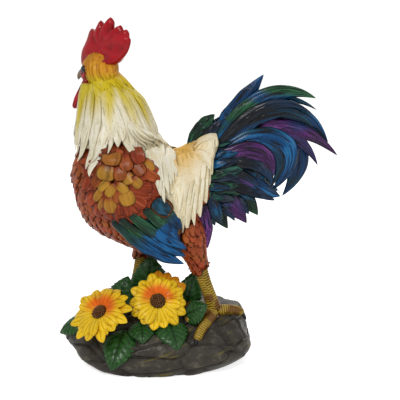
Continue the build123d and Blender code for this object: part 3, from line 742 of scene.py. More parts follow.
def lay_scale(
    casting, spot, way, size, tone, warm=0.0, profile=shield_shape, relief=shingled, grid=(6, 8), thick=1.5
):
    """One short feather on a skin: its root lies down and its tip stands off.

    Size is length, width and lift.
    """
    point, normal = spot
    length, width, lift = size
    along = (way - normal * way.dot(normal)).normalized()

    def spine(s):
        rise = normal * (0.2 + lift * s ** 1.5)
        lean = along + normal * (lift / length * 1.5 * math.sqrt(s))
        return point + along * ((s - 0.4) * length) + rise, lean.normalized(), normal

    lay_blade(casting, spine, width, thick, profile, relief, grid, tone, lambda s, p: warm, cup=width * 0.06)


def set_sockets(node, values):
    """Set a node's plain inputs, and link those given as another node's output."""
    for name, value in values.items():
        if isinstance(value, bpy.types.NodeSocket):
            node.id_data.links.new(value, node.inputs[name])
        else:
            node.inputs[name].default_value = value


def add_node(tree, kind, inputs=None, stops=(), **settings):
    """Add a shader node with its settings, colour stops and inputs."""
    node = tree.nodes.new(kind)
    for name, value in settings.items():
        setattr(node, name, value)
    for step, (position, colour) in enumerate(stops):
        elements = node.color_ramp.elements
        stop = elements[step] if step < len(elements) else elements.new(position)
        stop.position = position
        stop.color = colour
    set_sockets(node, inputs or {})
    return node


def start_material(name):
    """A new material with its shader and the object's own coordinates."""
    material = bpy.data.materials.new(name)
    material.use_nodes = True
    tree = material.node_tree
    place = add_node(tree, "ShaderNodeTexCoord").outputs["Object"]
    return material, tree, tree.nodes["Principled BSDF"], place


def shaded(colour, share):
    """A colour scaled towards black."""
    return (*(channel * share for channel in colour[:3]), 1.0)


def painted_resin(name, dark, base, light, rough, coat, warm, brush):
    """Cast resin painted by hand: a dark wash in the recesses, a mottled base coat and dry-brushed ridges.

    Brush is the width in millimetres of the brush marks, drawn as coarse as they need to be to show.
    """
    material, tree, shader, place = start_material(name)
    wash, tone, heat = (
        add_node(tree, "ShaderNodeAttribute", attribute_name=layer).outputs["Fac"] for layer in PAINT_LAYERS
    )
    marks = add_node(
        tree, "ShaderNodeTexNoise", {"Vector": place, "Scale": 1 / (brush * MM), "Detail": 5.0}
    ).outputs["Fac"]
    uneven = add_node(tree, "ShaderNodeMath", {0: marks, 1: 0.5, 2: wash}, operation="MULTIPLY_ADD")
    level = add_node(tree, "ShaderNodeMath", {0: uneven.outputs[0], 1: 0.25}, operation="SUBTRACT").outputs[0]
    stops = ((0.08, dark), (0.42, shaded(base, 0.62)), (0.74, base), (1.0, light))
    colour = add_node(tree, "ShaderNodeValToRGB", {"Fac": level}, stops).outputs["Color"]
    if warm is not None:
        warm_stops = ((0.0, dark), (0.45, shaded(warm, 0.7)), (0.8, warm), (1.0, warm))
        warmer = add_node(tree, "ShaderNodeValToRGB", {"Fac": level}, warm_stops).outputs["Color"]
        colour = add_node(tree, "ShaderNodeMix", {0: heat, 6: colour, 7: warmer}, data_type="RGBA").outputs[2]
    value = add_node(tree, "ShaderNodeMapRange", {"Value": tone, "To Min": 0.78, "To Max": 1.16})
    tinted = add_node(tree, "ShaderNodeHueSaturation", {"Color": colour, "Value": value.outputs["Result"]})
    gloss = add_node(
        tree, "ShaderNodeMapRange", {"Value": marks, "To Min": rough - 0.08, "To Max": rough + 0.14}
    )
    bump = add_node(tree, "ShaderNodeBump", {"Height": marks, "Strength": 0.25, "Distance": 0.25 * MM})
    set_sockets(shader, {
        "Base Color": tinted.outputs["Color"],
        "Roughness": gloss.outputs["Result"],
        "Normal": bump.outputs["Normal"],
        "IOR": 1.5,
        "Specular IOR Level": 0.1,
        "Coat Weight": coat,
        "Coat Roughness": 0.12,
    })
    return material


def plain_finish(name, colour, rough, grain, metallic, coat):
    """A finish with a fine even grain, its size in millimetres, for what carries no paint layers."""
    material, tree, shader, place = start_material(name)
    speck = add_node(
        tree, "ShaderNodeTexNoise", {"Vector": place, "Scale": 1 / (grain * MM), "Detail": 3.0}
    ).outputs["Fac"]
    stops = ((0.3, shaded(colour, 0.7)), (0.7, colour))
    mottled = add_node(tree, "ShaderNodeValToRGB", {"Fac": speck}, stops)
    rougher = add_node(tree, "ShaderNodeMapRange", {"Value": speck, "To Min": rough, "To Max": rough + 0.1})
    set_sockets(shader, {
        "Base Color": mottled.outputs["Color"],
        "Roughness": rougher.outputs["Result"],
        "Metallic": metallic,
        "Specular IOR Level": 0.2,
        "Coat Weight": coat,
    })
    return material


def paints(context):
    """Every finish of the figure, made once."""
    settings = context.scene.rooster_paint
    kept = bpy.data.materials

    def mixed(colour):
        return hex_colour(colour) if colour.startswith("#") else getattr(settings, colour)

    made = {}
    for key, (name, dark, base, light, rough, coat, second, brush) in RESIN_PAINTS.items():
        warm = mixed(second) if second else None
        made[key] = kept.get(name) or painted_resin(
            name, mixed(dark), mixed(base), mixed(light), rough, coat, warm, brush
        )
    for key, (name, colour, *surface) in PLAIN_FINISHES.items():
        made[key] = kept.get(name) or plain_finish(name, mixed(colour), *surface)
    return made


def coat_nodes(material, *nodes):
    """Give castings that stay in view their finish."""
    for node in nodes:
        slots = frame["nodes"][node].data.materials
        slots.clear()
        slots.append(material)


class ROOSTER_OT_base(bpy.types.Operator):
    """Carve the boulder and finish the felt and the hidden rods"""

    bl_idname = "rooster.base"
    bl_label = "Rock and felt"

    def execute(self, context):
        made = paints(context)
        height = context.scene.rooster_relief.rock_relief / MM
        skin = Skin("rock_base")
        low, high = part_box("rock_base")
        half = (high - low) / 2 / MM
        middle = (high + low) / 2 / MM
        casting = Casting()

        def place(s, t):
            point, normal = skin.towards(middle + ball_way(s, t, half) * 3, middle)
            slant = Vector((point.x * 0.5 + point.z, point.y, point.z * 1.6 - point.x * 0.4))
            lumps = noise.noise(point * LUMPS) * height
            near, far = noise.voronoi(slant * FACETS + Vector((3, 1, 2)))[0][:2]
            facet = smooth(0.0, 0.12, far - near) * 0.9 - near * 0.9
            rough = noise.ridged_multi_fractal(slant * CHIPS, 0.9, 2.1, 4, 1.0, 2.0) - 1.0
            ledges = (facet + rough * 0.3) * height * 0.6
            side = smooth(-0.9, -0.2, normal.z) * (1 - 0.7 * smooth(0.75, 0.95, normal.z))
            streak = ripple(slant.x * 0.05, slant.y * 0.05, slant.z * 0.35)
            patchy = smooth(-0.1, 0.3, noise.noise(point * 0.04 + UP))
            mottle = 0.3 * noise.noise(point * 0.12) + 0.2 * noise.noise(point * 0.4)
            wash = 0.5 + 0.4 * ledges / height + mottle
            return point + normal * (lumps + ledges) * side, wash, smooth(0.3, 0.5, streak) * patchy * 0.8

        casting.lay(*ROCK_GRID, place)
        casting.finish("carved_rock", made["rock"], "rock_resin", "rock_base")
        coat_nodes(made["felt"], "felt_base_pad")
        coat_nodes(made["steel"], "left_leg_rod", "right_leg_rod", "neck_rod", "tail_rod")
        return {"FINISHED"}


def scutes(radius, count, shares):
    """Rows of scutes round a shank or toe, with the rows of one side half a step on."""

    def girth(s, turn):
        step = (s * count + (0.5 if math.cos(turn) > 0.15 else 0.0)) % 1
        size = radius * shares(s) * (1.07 - 0.2 * smooth(0.55, 1.0, step))
        bead = 1 + 0.05 * math.cos(turn * 5)
        return size * bead, 1 - smooth(0.5, 0.95, step)

    return girth


def shank_shares(s):
    """Share of full radius along a shank."""
    return smooth(0.0, 0.05, s) * smooth(0.0, 0.04, 1 - s) * (1.05 - 0.2 * math.sin(s * math.pi))


def toe_shares(s):
    """Share of full radius along a toe, rounded off at its end."""
    end = math.sqrt(max(0.0, 1 - max(0, (s - 0.86) / 0.14) ** 2))
    return smooth(0.0, 0.06, s) * (1.05 - 0.35 * s) * end


def claw_girth(s, turn):
    """Radius and wash along a claw."""
    return CLAW_RADIUS * math.sqrt(1 - s) * smooth(0, 0.1, s), 1.0


def browned(s, point):
    """How brown a leg is at a point: in patches, more of them near the rock."""
    low = smooth(75, 45, point.z) * 0.35
    return smooth(0.0, 0.4, noise.noise(point * 0.13) + low - 0.1) * 0.85


class ROOSTER_OT_legs(bpy.types.Operator):
    """Scaled shanks and toes with black claws"""

    bl_idname = "rooster.legs"
    bl_label = "Feet"

    def execute(self, context):
        made = paints(context)
        rock = Skin("rock_base")
        for side, (ankle, knee, toes) in LEGS.items():
            ankle, knee = Vector(ankle), Vector(knee)
            way = (knee - ankle).normalized()
            heel = ankle - way * HEEL_DROP
            top = knee + way * SHANK_TOP
            casting = Casting()
            claws = Casting()
            shank = bezier_spine([heel, heel.lerp(top, 0.33), heel.lerp(top, 0.66), top], Vector((0, -1, 0)))
            shank_girth = scutes(SHANK_RADIUS, SHANK_SCUTES, shank_shares)
            lay_limb(casting, shank, shank_girth, (168, 28), 0.5, browned)
            for reach_x, reach_y, lift in toes:
                reach = Vector((reach_x, reach_y, 0))
                half_way, end = heel + reach * 0.5, heel + reach
                bend = rock.below(half_way.x, half_way.y) + UP * 4.9
                tip = rock.below(end.x, end.y) + UP * (lift + 1.6)
                pad = bend.lerp(tip, 0.6) + UP * 3.6
                toe = bezier_spine([heel, bend, pad, tip], UP)
                lay_limb(casting, toe, scutes(TOE_RADIUS, TOE_SCUTES, toe_shares), (128, 20), 0.5, browned)
                run = (tip - pad).normalized()
                quick = tip - run * 2.4
                hook = [quick, quick + run * 3, quick + run * 6, quick + run * 7.5 - UP * 2.4]
                lay_limb(claws, bezier_spine(hook, UP), claw_girth, (10, 12))
            casting.finish(f"{side}_scaled_foot", made["leg"], "leg_yellow", f"{side}_foot")
            claws.finish(f"{side}_claws", made["claw"], "leg_yellow")
        return {"FINISHED"}


class ROOSTER_OT_breast(bpy.types.Operator):
    """Overlapping rust feathers on breast, belly and thighs"""

    bl_idname = "rooster.breast"
    bl_label = "Breast feathers"

    def execute(self, context):
        made = paints(context)
        relief = context.scene.rooster_relief
        size = Vector((relief.scale_length, relief.scale_width, relief.scale_lift)) / MM
        covers = Skin(
            "neck_cape", "left_wing_shield", "right_wing_shield", "left_saddle_hackle", "right_saddle_hackle",
            "tail_block",
        )
        draw = random.Random(3)
        for name, (nodes, gap, share, lift_share, flow) in BREAST_FEATHERS.items():
            coat_nodes(made["rust_under"], *nodes)
            hollow = name == "breast_feathers"
            parts = Vector((1, 1, lift_share))

            def shown(point, normal):
                inside = hollow and (point - Vector((point.x, 0, BODY_MIDDLE))).dot(normal) < 0
                seam = abs(normal.y) > 0.999 and abs(point.y) < 1
                if inside or seam or point.z > BREAST_TOP:
                    return False
                return covers.tree.ray_cast(point + normal * 0.5, normal, 9.0)[0] is None

            casting = Casting()
            for spot in Skin(*nodes).scatter(gap, 11, shown, 16000):
                way = Vector(flow) + Vector((draw.uniform(-0.3, 0.3), draw.uniform(-0.25, 0.25), 0))
                stretch = share * draw.uniform(0.8, 1.2)
                scaled = Vector(a * b * stretch for a, b in zip(size, parts))
                lay_scale(casting, spot, way, scaled, draw.random(), 0.2 * draw.random() ** 2)
            casting.finish(name, made["rust"], "rust_feathers")
        return {"FINISHED"}


class ROOSTER_OT_wings(bpy.types.Operator):
    """Shoulder feathers, the fan of coverts and the flights"""

    bl_idname = "rooster.wings"
    bl_label = "Wings"

    def execute(self, context):
        self.made = paints(context)
        self.groove = context.scene.rooster_relief.groove_depth / MM
        for side, sign in SIDES.items():
            self.side = side
            self.sign = sign
            self.skin = Skin(f"{side}_wing_shield", f"{side}_body_shell", f"{side}_thigh")
            self.random = random.Random(20 + sign)
            coat_nodes(self.made["rust_under"], f"{side}_wing_shield")
            self.fan()
            self.shoulder()
            self.flights()
            self.green_coverts()
            self.rimmed_coverts()
        return {"FINISHED"}

    def on_wing(self, x, z, lift):
        """Point and normal on the wing at a place in side view."""
        point, normal = self.skin.towards(Vector((x, self.sign * FAR_SIDE, z)), Vector((x, 0, z)))
        return point + normal * lift, (normal + Vector((0, self.sign * 0.6, 0))).normalized()

    def draped(self, x, z, turn, length, lifts):
        """A spine laid on the wing, with its lift off the wing at even steps."""
        way = side_way(turn)
        stations = []
        for step, lift in enumerate(lifts):
            spot = Vector((x, 0, z)) + way * (length * step / (len(lifts) - 1))
            stations.append(self.on_wing(spot.x, spot.z, lift))
        return draped_spine(stations)

    def fan(self):
        """Two rows of coverts round the fan's middle."""
        casting = Casting()
        for row, (start, share, width, count) in enumerate(FAN_ROWS):
            for step in range(count):
                turn = FAN_START - (step + 0.5 * row) * FAN_SPREAD / count
                reach = (31 + 6 * math.cos(math.radians(turn))) * share
                root = FAN_MIDDLE + side_way(turn) * start
                lifts = [0.2 + row, 0.5 + row, 0.9 + row, 1.3 + row]
                lay_blade(
                    casting, self.draped(root.x, root.z, turn, reach - start, lifts), width, 2.6, spade,
                    barbed(row * 40 + step + self.sign * 7.3), (18, 20), self.random.uniform(0.2, 0.7),
                )
        casting.finish(f"{self.side}_wing_coverts", self.made["rust"], "rust_feathers")

    def shoulder(self):
        """Small feathers all over the shoulder, and the larger rounded ones over them."""
        casting = Casting()

        def outside(point, normal):
            return normal.y * self.sign > 0.2 and point.z > 140 and point.x < 6

        for spot in self.skin.scatter(5.0, 23, outside, 6000):
            way = spot[0] - SHOULDER_TOP
            tone, warm = self.random.random(), 0.1 * self.random.random()
            lay_scale(casting, spot, Vector((way.x, 0, way.z)), (12, 10, 0.8), tone, warm, spade)
        for step, (x, z, turn, length, width, gold) in enumerate(SHOULDER_FEATHERS):
            way = side_way(turn) * (0.58 * length)
            lay_blade(
                casting, self.draped(x - way.x, z - way.z, turn, length, [1.8, 3.2, 3.9]), width, 2.6, spade,
                barbed(step * 1.9 + self.sign), (14, 18), self.random.uniform(0.3, 0.8),
                lambda s, p, gold=gold: gold * smooth(0.1, 0.5, s),
            )
        casting.finish(f"{self.side}_shoulder_feathers", self.made["rust"], "rust_feathers")

    def flights(self):
        """Long blue flights, greener towards their roots."""
        casting = Casting()
        for step, curve in enumerate(FLIGHTS):
            points = [SHOULDER + Vector((x, self.sign * (39.5 + 1.2 * step), z)) for x, z in curve]
            relief = strands(step + 60 + self.sign * 3.1, 4.5, self.groove * 1.2, 1.4, 0.85)
            lay_blade(
                casting, bezier_spine(points, Vector((0, self.sign, 0.2))), FLIGHT_WIDTH, FLIGHT_THICK,
                ragged(lance, step), relief, (60, 36), self.random.uniform(0.4, 0.8),
                lambda s, p, step=step: smooth(0.55, 0.25, s) * (0.9 - 0.25 * step), belly=1,
            )
        casting.finish(
            f"{self.side}_flight_feathers", self.made["flight"], "wing_blue", f"{self.side}_wing_flights"
        )

    def green_coverts(self):
        """Green coverts over the flights, blue towards their tips."""
        casting = Casting()
        for step, (x, z, turn, length) in enumerate(GREEN_COVERTS):
            relief = strands(step + 90 + self.sign * 3.1, 3.6, self.groove * 0.7, 1.2)
            lay_blade(
                casting, self.draped(x, z, turn, length, [2.4, 4.0, 5.4, 6.2]), 11.5, 3.4,
                ragged(lance, step + 7), relief, (34, 24), self.random.uniform(0.3, 0.7),
                lambda s, p: 0.95 * smooth(0.35, 0.75, s), belly=1,
            )
        casting.finish(f"{self.side}_green_coverts", self.made["green"], "wing_blue")

    def rimmed_coverts(self):
        """Two round blue coverts, each on a larger brown one that shows as its rim."""
        rims = Casting()
        rounds = Casting()
        for step, (x, z, turn) in enumerate(RIMMED_COVERTS):
            lay_blade(
                rims, self.draped(x, z, turn, 18, [3.0, 4.2, 4.6]), 17.0, 3.4, spade,
                barbed(step * 2.1 + self.sign), (20, 20), 0.2,
            )
            relief = strands(step + 120 + self.sign * 3.1, 3.0, self.groove * 0.6, 1.0)
            lay_blade(
                rounds, self.draped(x, z, turn, 16, [3.6, 4.8, 5.4]), 13.5, 3.8, spade, relief, (24, 24), 0.4,
                lambda s, p: 0.5,
            )
        rims.finish(f"{self.side}_covert_rims", self.made["disc"], "rust_feathers")
        rounds.finish(f"{self.side}_rimmed_coverts", self.made["blue"], "wing_blue")


class ROOSTER_OT_hackles(bpy.types.Operator):
    """Long pointed hackles over the neck and the saddle"""

    bl_idname = "rooster.hackles"
    bl_label = "Hackles"

    def execute(self, context):
        relief = context.scene.rooster_relief
        self.width, self.thick = relief.lock_width / MM, relief.lock_thick / MM
        self.groove = relief.groove_depth / MM
        self.made = paints(context)
        self.body = Skin(
            "head", "left_body_shell", "right_body_shell", "left_wing_shield", "right_wing_shield"
        )
        self.random = random.Random(5)
        self.neck_core()
        self.neck()
        self.collar()
        self.sweep()
        self.saddle_core()
        self.saddle()
        return {"FINISHED"}

    def lock(self, casting, stations, share, seed, warm):
        """One hackle along its stations."""
        width = self.width * share * self.random.uniform(0.85, 1.15)
        tone = self.random.uniform(0.45, 0.75)
        lay_blade(
            casting, draped_spine(stations), width, self.thick, hackle_shape,
            hair(seed, 4.0, self.groove * 0.7), (36, 24), tone, warm,
        )

    def yellowed(self, s, point):
        """How yellow the neck is at a point: strongest below the head, then in streaks."""
        turn = math.atan2(point.y - 3, point.x + 40)
        streak = ripple(turn * 4, point.z * 0.012, 0.7)
        return smooth(208, 244, point.z + 26 * streak) * 0.95

    def gilded(self, s, point):
        """How golden the back is at a point."""
        off = Vector((point.x - 25, point.y * 0.45, (point.z - 184) * 0.8))
        return smooth(27, 4, off.length) * 0.95

    def neck_axis(self, z):
        """Middle of the neck at a height, with its half length and half width."""
        along, half_long, half_wide, _ = read_table(NECK_RINGS, z)
        return Vector((along, (z - NECK_RINGS[0][0]) * NECK_LEAN, z)), half_long, half_wide

    def neck_point(self, turn, z, lift):
        """Point and normal on the neck, or on the body where that stands further out."""
        aim, half_long, half_wide = self.neck_axis(z)
        way = level_way(turn)
        reach = 1 / math.hypot(way.x / half_long, way.y / half_wide)
        hit = self.body.tree.ray_cast(aim + way * 130, -way)[0]
        if hit is not None:
            over = (hit - aim).dot(way) + 1.0 + 11.0 * way.y ** 2 * smooth(206, 192, z)
            reach = max(reach, min(over, reach + 20 * smooth(0.75, 0.3, way.x)))
        return aim + way * (reach + lift), (way + UP * 0.3).normalized()

    def neck_hem(self, turn):
        """Height of the hackles' tips at a turn from the front."""
        return read_table(NECK_TIPS, min(math.degrees(abs(turn)), 180))[0]

    def neck_core(self):
        """The combed neck under the hackles."""
        casting = Casting()

        def place(s, t):
            turn = math.pi * t
            z = between(self.neck_hem(turn) + 9, NECK_TOP - 9 * smooth(1.5, 0.7, abs(turn)), s)
            ring = Vector((math.cos(turn), math.sin(turn), 0))
            ridge = smooth(0.0, 0.22, abs(noise.noise(ring * 6 + UP * (z * 0.012 + 3))))
            fine = noise.noise(ring * 22 + UP * z * 0.03)
            point, _ = self.neck_point(turn, z, -1.0 + 0.9 * (ridge - 1) + 0.25 * fine)
            aim = self.neck_axis(z)[0]
            point = aim.lerp(point, smooth(0.0, 0.02, s) * smooth(0.0, 0.02, 1 - s))
            return point, 0.58 + 0.3 * ridge + 0.3 * fine, self.yellowed(s, point)

        casting.lay(100, 180, place)
        casting.finish("neck_core", self.made["cream"], "cream_hackle", "neck_cape")

    def neck(self):
        """Two layers of pointed hackles round the neck."""
        casting = Casting()
        for layer, (count, share, top, raised) in enumerate(NECK_LAYERS):
            for step in range(count):
                turn = math.tau * (step + 0.5 * layer) / count - math.pi
                start = top + self.random.uniform(-6, 3)
                end = self.neck_hem(turn) + raised * self.random.uniform(0.4, 1.4)
                end += self.random.uniform(-3, 3)
                drift = self.random.uniform(-0.08, 0.08)
                stations = [
                    self.neck_point(turn + drift * f, between(start, end, f), -3.0 + (3.6 + 0.7 * layer) * f)
                    for f in NECK_STATIONS
                ]
                self.lock(casting, stations, share, step * 1.7 + layer * 50, self.yellowed)
        casting.finish("neck_hackles", self.made["cream"], "cream_hackle")

    def collar(self):
        """Short hackles below the head that fade from ochre to yellow, with none in front of the face."""
        casting = Casting()
        for step in range(COLLAR_LOCKS):
            turn = math.tau * step / COLLAR_LOCKS
            if level_way(turn).dot(HEAD_WAY) > -0.3:
                continue
            start = COLLAR_TOP + self.random.uniform(-2, 3)
            end = COLLAR_END + self.random.uniform(-6, 4)
            stations = [
                self.neck_point(turn, between(start, end, f), -1.8 + 2.0 * math.sin(f * math.pi))
                for f in STATIONS
            ]
            self.lock(
                casting, stations, 1.3, step * 1.3 + 90, lambda s, point: smooth(257, 246, point.z) * 0.95
            )
        casting.finish("collar_hackles", self.made["ochre"], "face_ochre")

    def sweep(self):
        """Hackles from the nape over the shoulder."""
        casting = Casting()
        for sign in SIDES.values():
            for step, (tip_x, tip_z) in enumerate(SWEEP_TIPS):
                root = Vector((-9 - step * 1.3, 0, 208 + step * 0.8))
                stations = []
                for f in STATIONS:
                    x = between(root.x, tip_x, f) + math.sin(f * math.pi) * 6
                    z = min(between(root.z, tip_z, f), read_table(BACK_OUTLINE, x)[0] - 2.5)
                    aim, half_long, half_wide = self.neck_axis(z)
                    out = half_wide * math.sqrt(max(0.0, 1 - ((x - aim.x) / half_long) ** 2))
                    flank = self.back_point(x, self.tilt_at(x, z), sign, 0)[0]
                    out = max(out, abs(flank.y) * smooth(-10, 5, x))
                    hit = self.body.tree.ray_cast(Vector((x, sign * FAR_SIDE, z)), Vector((0, -sign, 0)))[0]
                    if hit is not None:
                        out = max(out, abs(hit.y))
                    face = Vector((0.1, sign * max(out, 8) / 40, max(0.0, z - 165) / 45))
                    point = Vector((x, sign * (out - 1.8 + 8.5 * f * smooth(182, 166, z)), z))
                    stations.append((point, face.normalized()))
                self.lock(casting, stations, 1.5, step * 2.3 + sign * 31, self.yellowed)
        casting.finish("shoulder_hackles", self.made["cream"], "cream_hackle")

    def back_point(self, x, tilt, sign, lift):
        """Point and normal on the smooth back and flank, at a tilt up from level."""
        ridge, wide = read_table(BACK_RINGS, x)[:2]
        if tilt > 0:
            across, rise = math.cos(tilt), math.sin(tilt) * (ridge - BACK_MIDDLE)
        else:
            across, rise = math.sqrt(math.cos(tilt)), math.sin(tilt) * BELLY_DROP
        normal = Vector((0, sign * math.cos(tilt), math.sin(tilt)))
        return Vector((x, sign * wide * across, BACK_MIDDLE + rise)) + normal * lift, normal

    def tilt_at(self, x, z):
        """The tilt at which the back or flank is at a height."""
        ridge = read_table(BACK_RINGS, x)[0]
        drop = ridge - BACK_MIDDLE if z > BACK_MIDDLE else BELLY_DROP
        return math.asin(min(1.0, max(-0.95, (z - BACK_MIDDLE) / drop)))

    def saddle_core(self):
        """The combed back under the saddle's hackles."""
        casting = Casting()

        def place(s, t):
            x = SADDLE_START + SADDLE_LENGTH * s
            hem = self.tilt_at(x, read_table(SADDLE_HEM, x)[0])
            tilt = between(math.pi / 2, hem, min(1.0, abs(t) / 0.94))
            flow = (x * 0.05 - abs(math.cos(tilt)) * 1.2) * 5
            ridge = smooth(0.0, 0.2, abs(ripple(flow, tilt * 0.9, 1.0 if t > 0 else 7.0)))
            fine = ripple(x * 0.7 - tilt * 2, tilt * 1.5, 3)
            point, _ = self.back_point(x, tilt, 1 if t > 0 else -1, -0.8 + 0.7 * (ridge - 1) + 0.2 * fine)
            inside = smooth(1.0, 0.945, abs(t)) * smooth(0.0, 0.02, s) * smooth(0.0, 0.02, 1 - s)
            point = Vector((x, 0, BACK_MIDDLE - 20)).lerp(point, inside)
            return point, 0.6 + 0.28 * ridge + 0.3 * fine, self.gilded(s, point)

        casting.lay(90, 160, place)
        casting.finish(
            "saddle_core", self.made["saddle"], "cream_hackle", "left_saddle_hackle", "right_saddle_hackle"
        )

    def saddle(self):
        """Layers of hackles that hang from the back."""
        casting = Casting()
        for sign in SIDES.values():
            for layer in range(SADDLE_LAYERS):
                for step, (start, tip_x, tip_z) in enumerate(SADDLE_TIPS):
                    end = tip_z + layer * LAYER_RISE + self.random.uniform(-3, 3)
                    high = math.radians(self.random.uniform(40, 62))
                    low = self.tilt_at(tip_x, end)
                    stations = []
                    for f in STATIONS:
                        x = start + layer + (tip_x - start) * f ** 1.3
                        lift = -3.0 + (3.6 + 0.6 * layer) * f
                        stations.append(self.back_point(x, between(high, low, f), sign, lift))
                    self.lock(casting, stations, 2.1, step * 3.1 + layer * 17 + sign * 5, self.gilded)
        casting.finish("saddle_hackles", self.made["saddle"], "cream_hackle")


class ROOSTER_OT_tail(bpy.types.Operator):
    """Sickles, curls and the dark coverts that fill the tail"""

    bl_idname = "rooster.tail"
    bl_label = "Tail"

    def execute(self, context):
        made = paints(context)
        groove = context.scene.rooster_relief.groove_depth / MM
        coat_nodes(made["tail_under"], "tail_block")
        feathers = dict(TAIL_SINGLES)
        for name, (paint, width, out, curve) in TAIL_PAIRS.items():
            for side, sign in SIDES.items():
                feathers[f"tail_{side}_{name}"] = (paint, width, sign * out, curve)
        slots = {entry["node"]: entry["material_slot"] for entry in frame["record"]["subparts"]}
        draw = random.Random(9)
        for step, (name, (paint, width, out, curve)) in enumerate(feathers.items()):
            points = [RUMP + Vector((x, out * HALF_BODY_WIDTH, z)) for x, z in curve]
            spine = bezier_spine(points, Vector((0, -1, draw.uniform(-0.1, 0.4))))
            relief = strands(step * 2.7, 5.5, groove * 1.2, 1.8, 0.68)
            casting = Casting()
            lay_blade(
                casting, spine, width, TAIL_THICK, ragged(lance, step * 1.3), relief, (84, 48),
                draw.uniform(0.35, 0.85),
                lambda s, p, seed=step: smooth(0.1, 0.6, ripple(s * 3, p.z * 0.05, seed)), belly=1,
            )
            casting.finish(f"{name}_feather", made[paint], slots[name], name)
        castings = {paint: Casting() for paint in FILL_PAINTS}
        laid = self.fill(castings, feathers, draw, groove)
        self.roots(castings, laid, draw, groove)
        for paint, casting in castings.items():
            casting.finish(f"tail_{paint}_coverts", made[paint], FILL_SLOTS[paint])
        return {"FINISHED"}

    def fill(self, castings, feathers, draw, groove):
        """Smaller feathers between the large ones. Returns how many were laid."""
        laid = 0
        for first, second, count in TAIL_FILL:
            _, _, first_out, first_curve = feathers[first]
            _, _, second_out, second_curve = feathers[second]
            for sign in SIDES.values():
                for step in range(count):
                    share = (step + draw.uniform(0.7, 1.3)) / (count + 1)
                    length = draw.uniform(0.72, 1.0)
                    out = between(abs(first_out), abs(second_out), share) + draw.uniform(-0.06, 0.1)
                    aside = Vector((0, out * sign * HALF_BODY_WIDTH, 0))
                    points = []
                    for (x, z), (to_x, to_z) in zip(first_curve, second_curve):
                        reach = Vector((between(x, to_x, share), 0, between(z, to_z, share))) * length
                        points.append(RUMP + reach + aside)
                    laid += 1
                    spine = bezier_spine(points, Vector((0, sign, draw.uniform(-0.2, 0.5))))
                    relief = strands(laid * 4.1, 4.5, groove * 1.2, 1.8, 0.6)
                    casting = castings[FILL_PAINTS[laid % len(FILL_PAINTS)]]
                    lay_blade(
                        casting, spine, draw.uniform(10, 15), FILL_THICK, ragged(lance, laid), relief,
                        (56, 30), draw.random(), lambda s, p: 0.5 * smooth(0.3, 1.0, s), belly=1,
                    )
        return laid

    def roots(self, castings, laid, draw, groove):
        """Coverts that hide the core, counted on from the feathers already laid."""
        for spot in Skin("tail_block").scatter(ROOT_GAP, 51, lambda point, normal: normal.x > -0.4, 3000):
            outward = spot[0] - Vector((spot[0].x, 0, RUMP.z))
            laid += 1
            lay_scale(
                castings[ROOT_PAINTS[laid % len(ROOT_PAINTS)]], spot, Vector((1, 0, 0)) + outward * 0.02,
                (draw.uniform(22, 30), draw.uniform(8, 11), 3.4), draw.random(), 0.3 * draw.random(), lance,
                strands(laid * 1.3, 3.4, groove * 0.8, 1.2), (24, 18),
            )


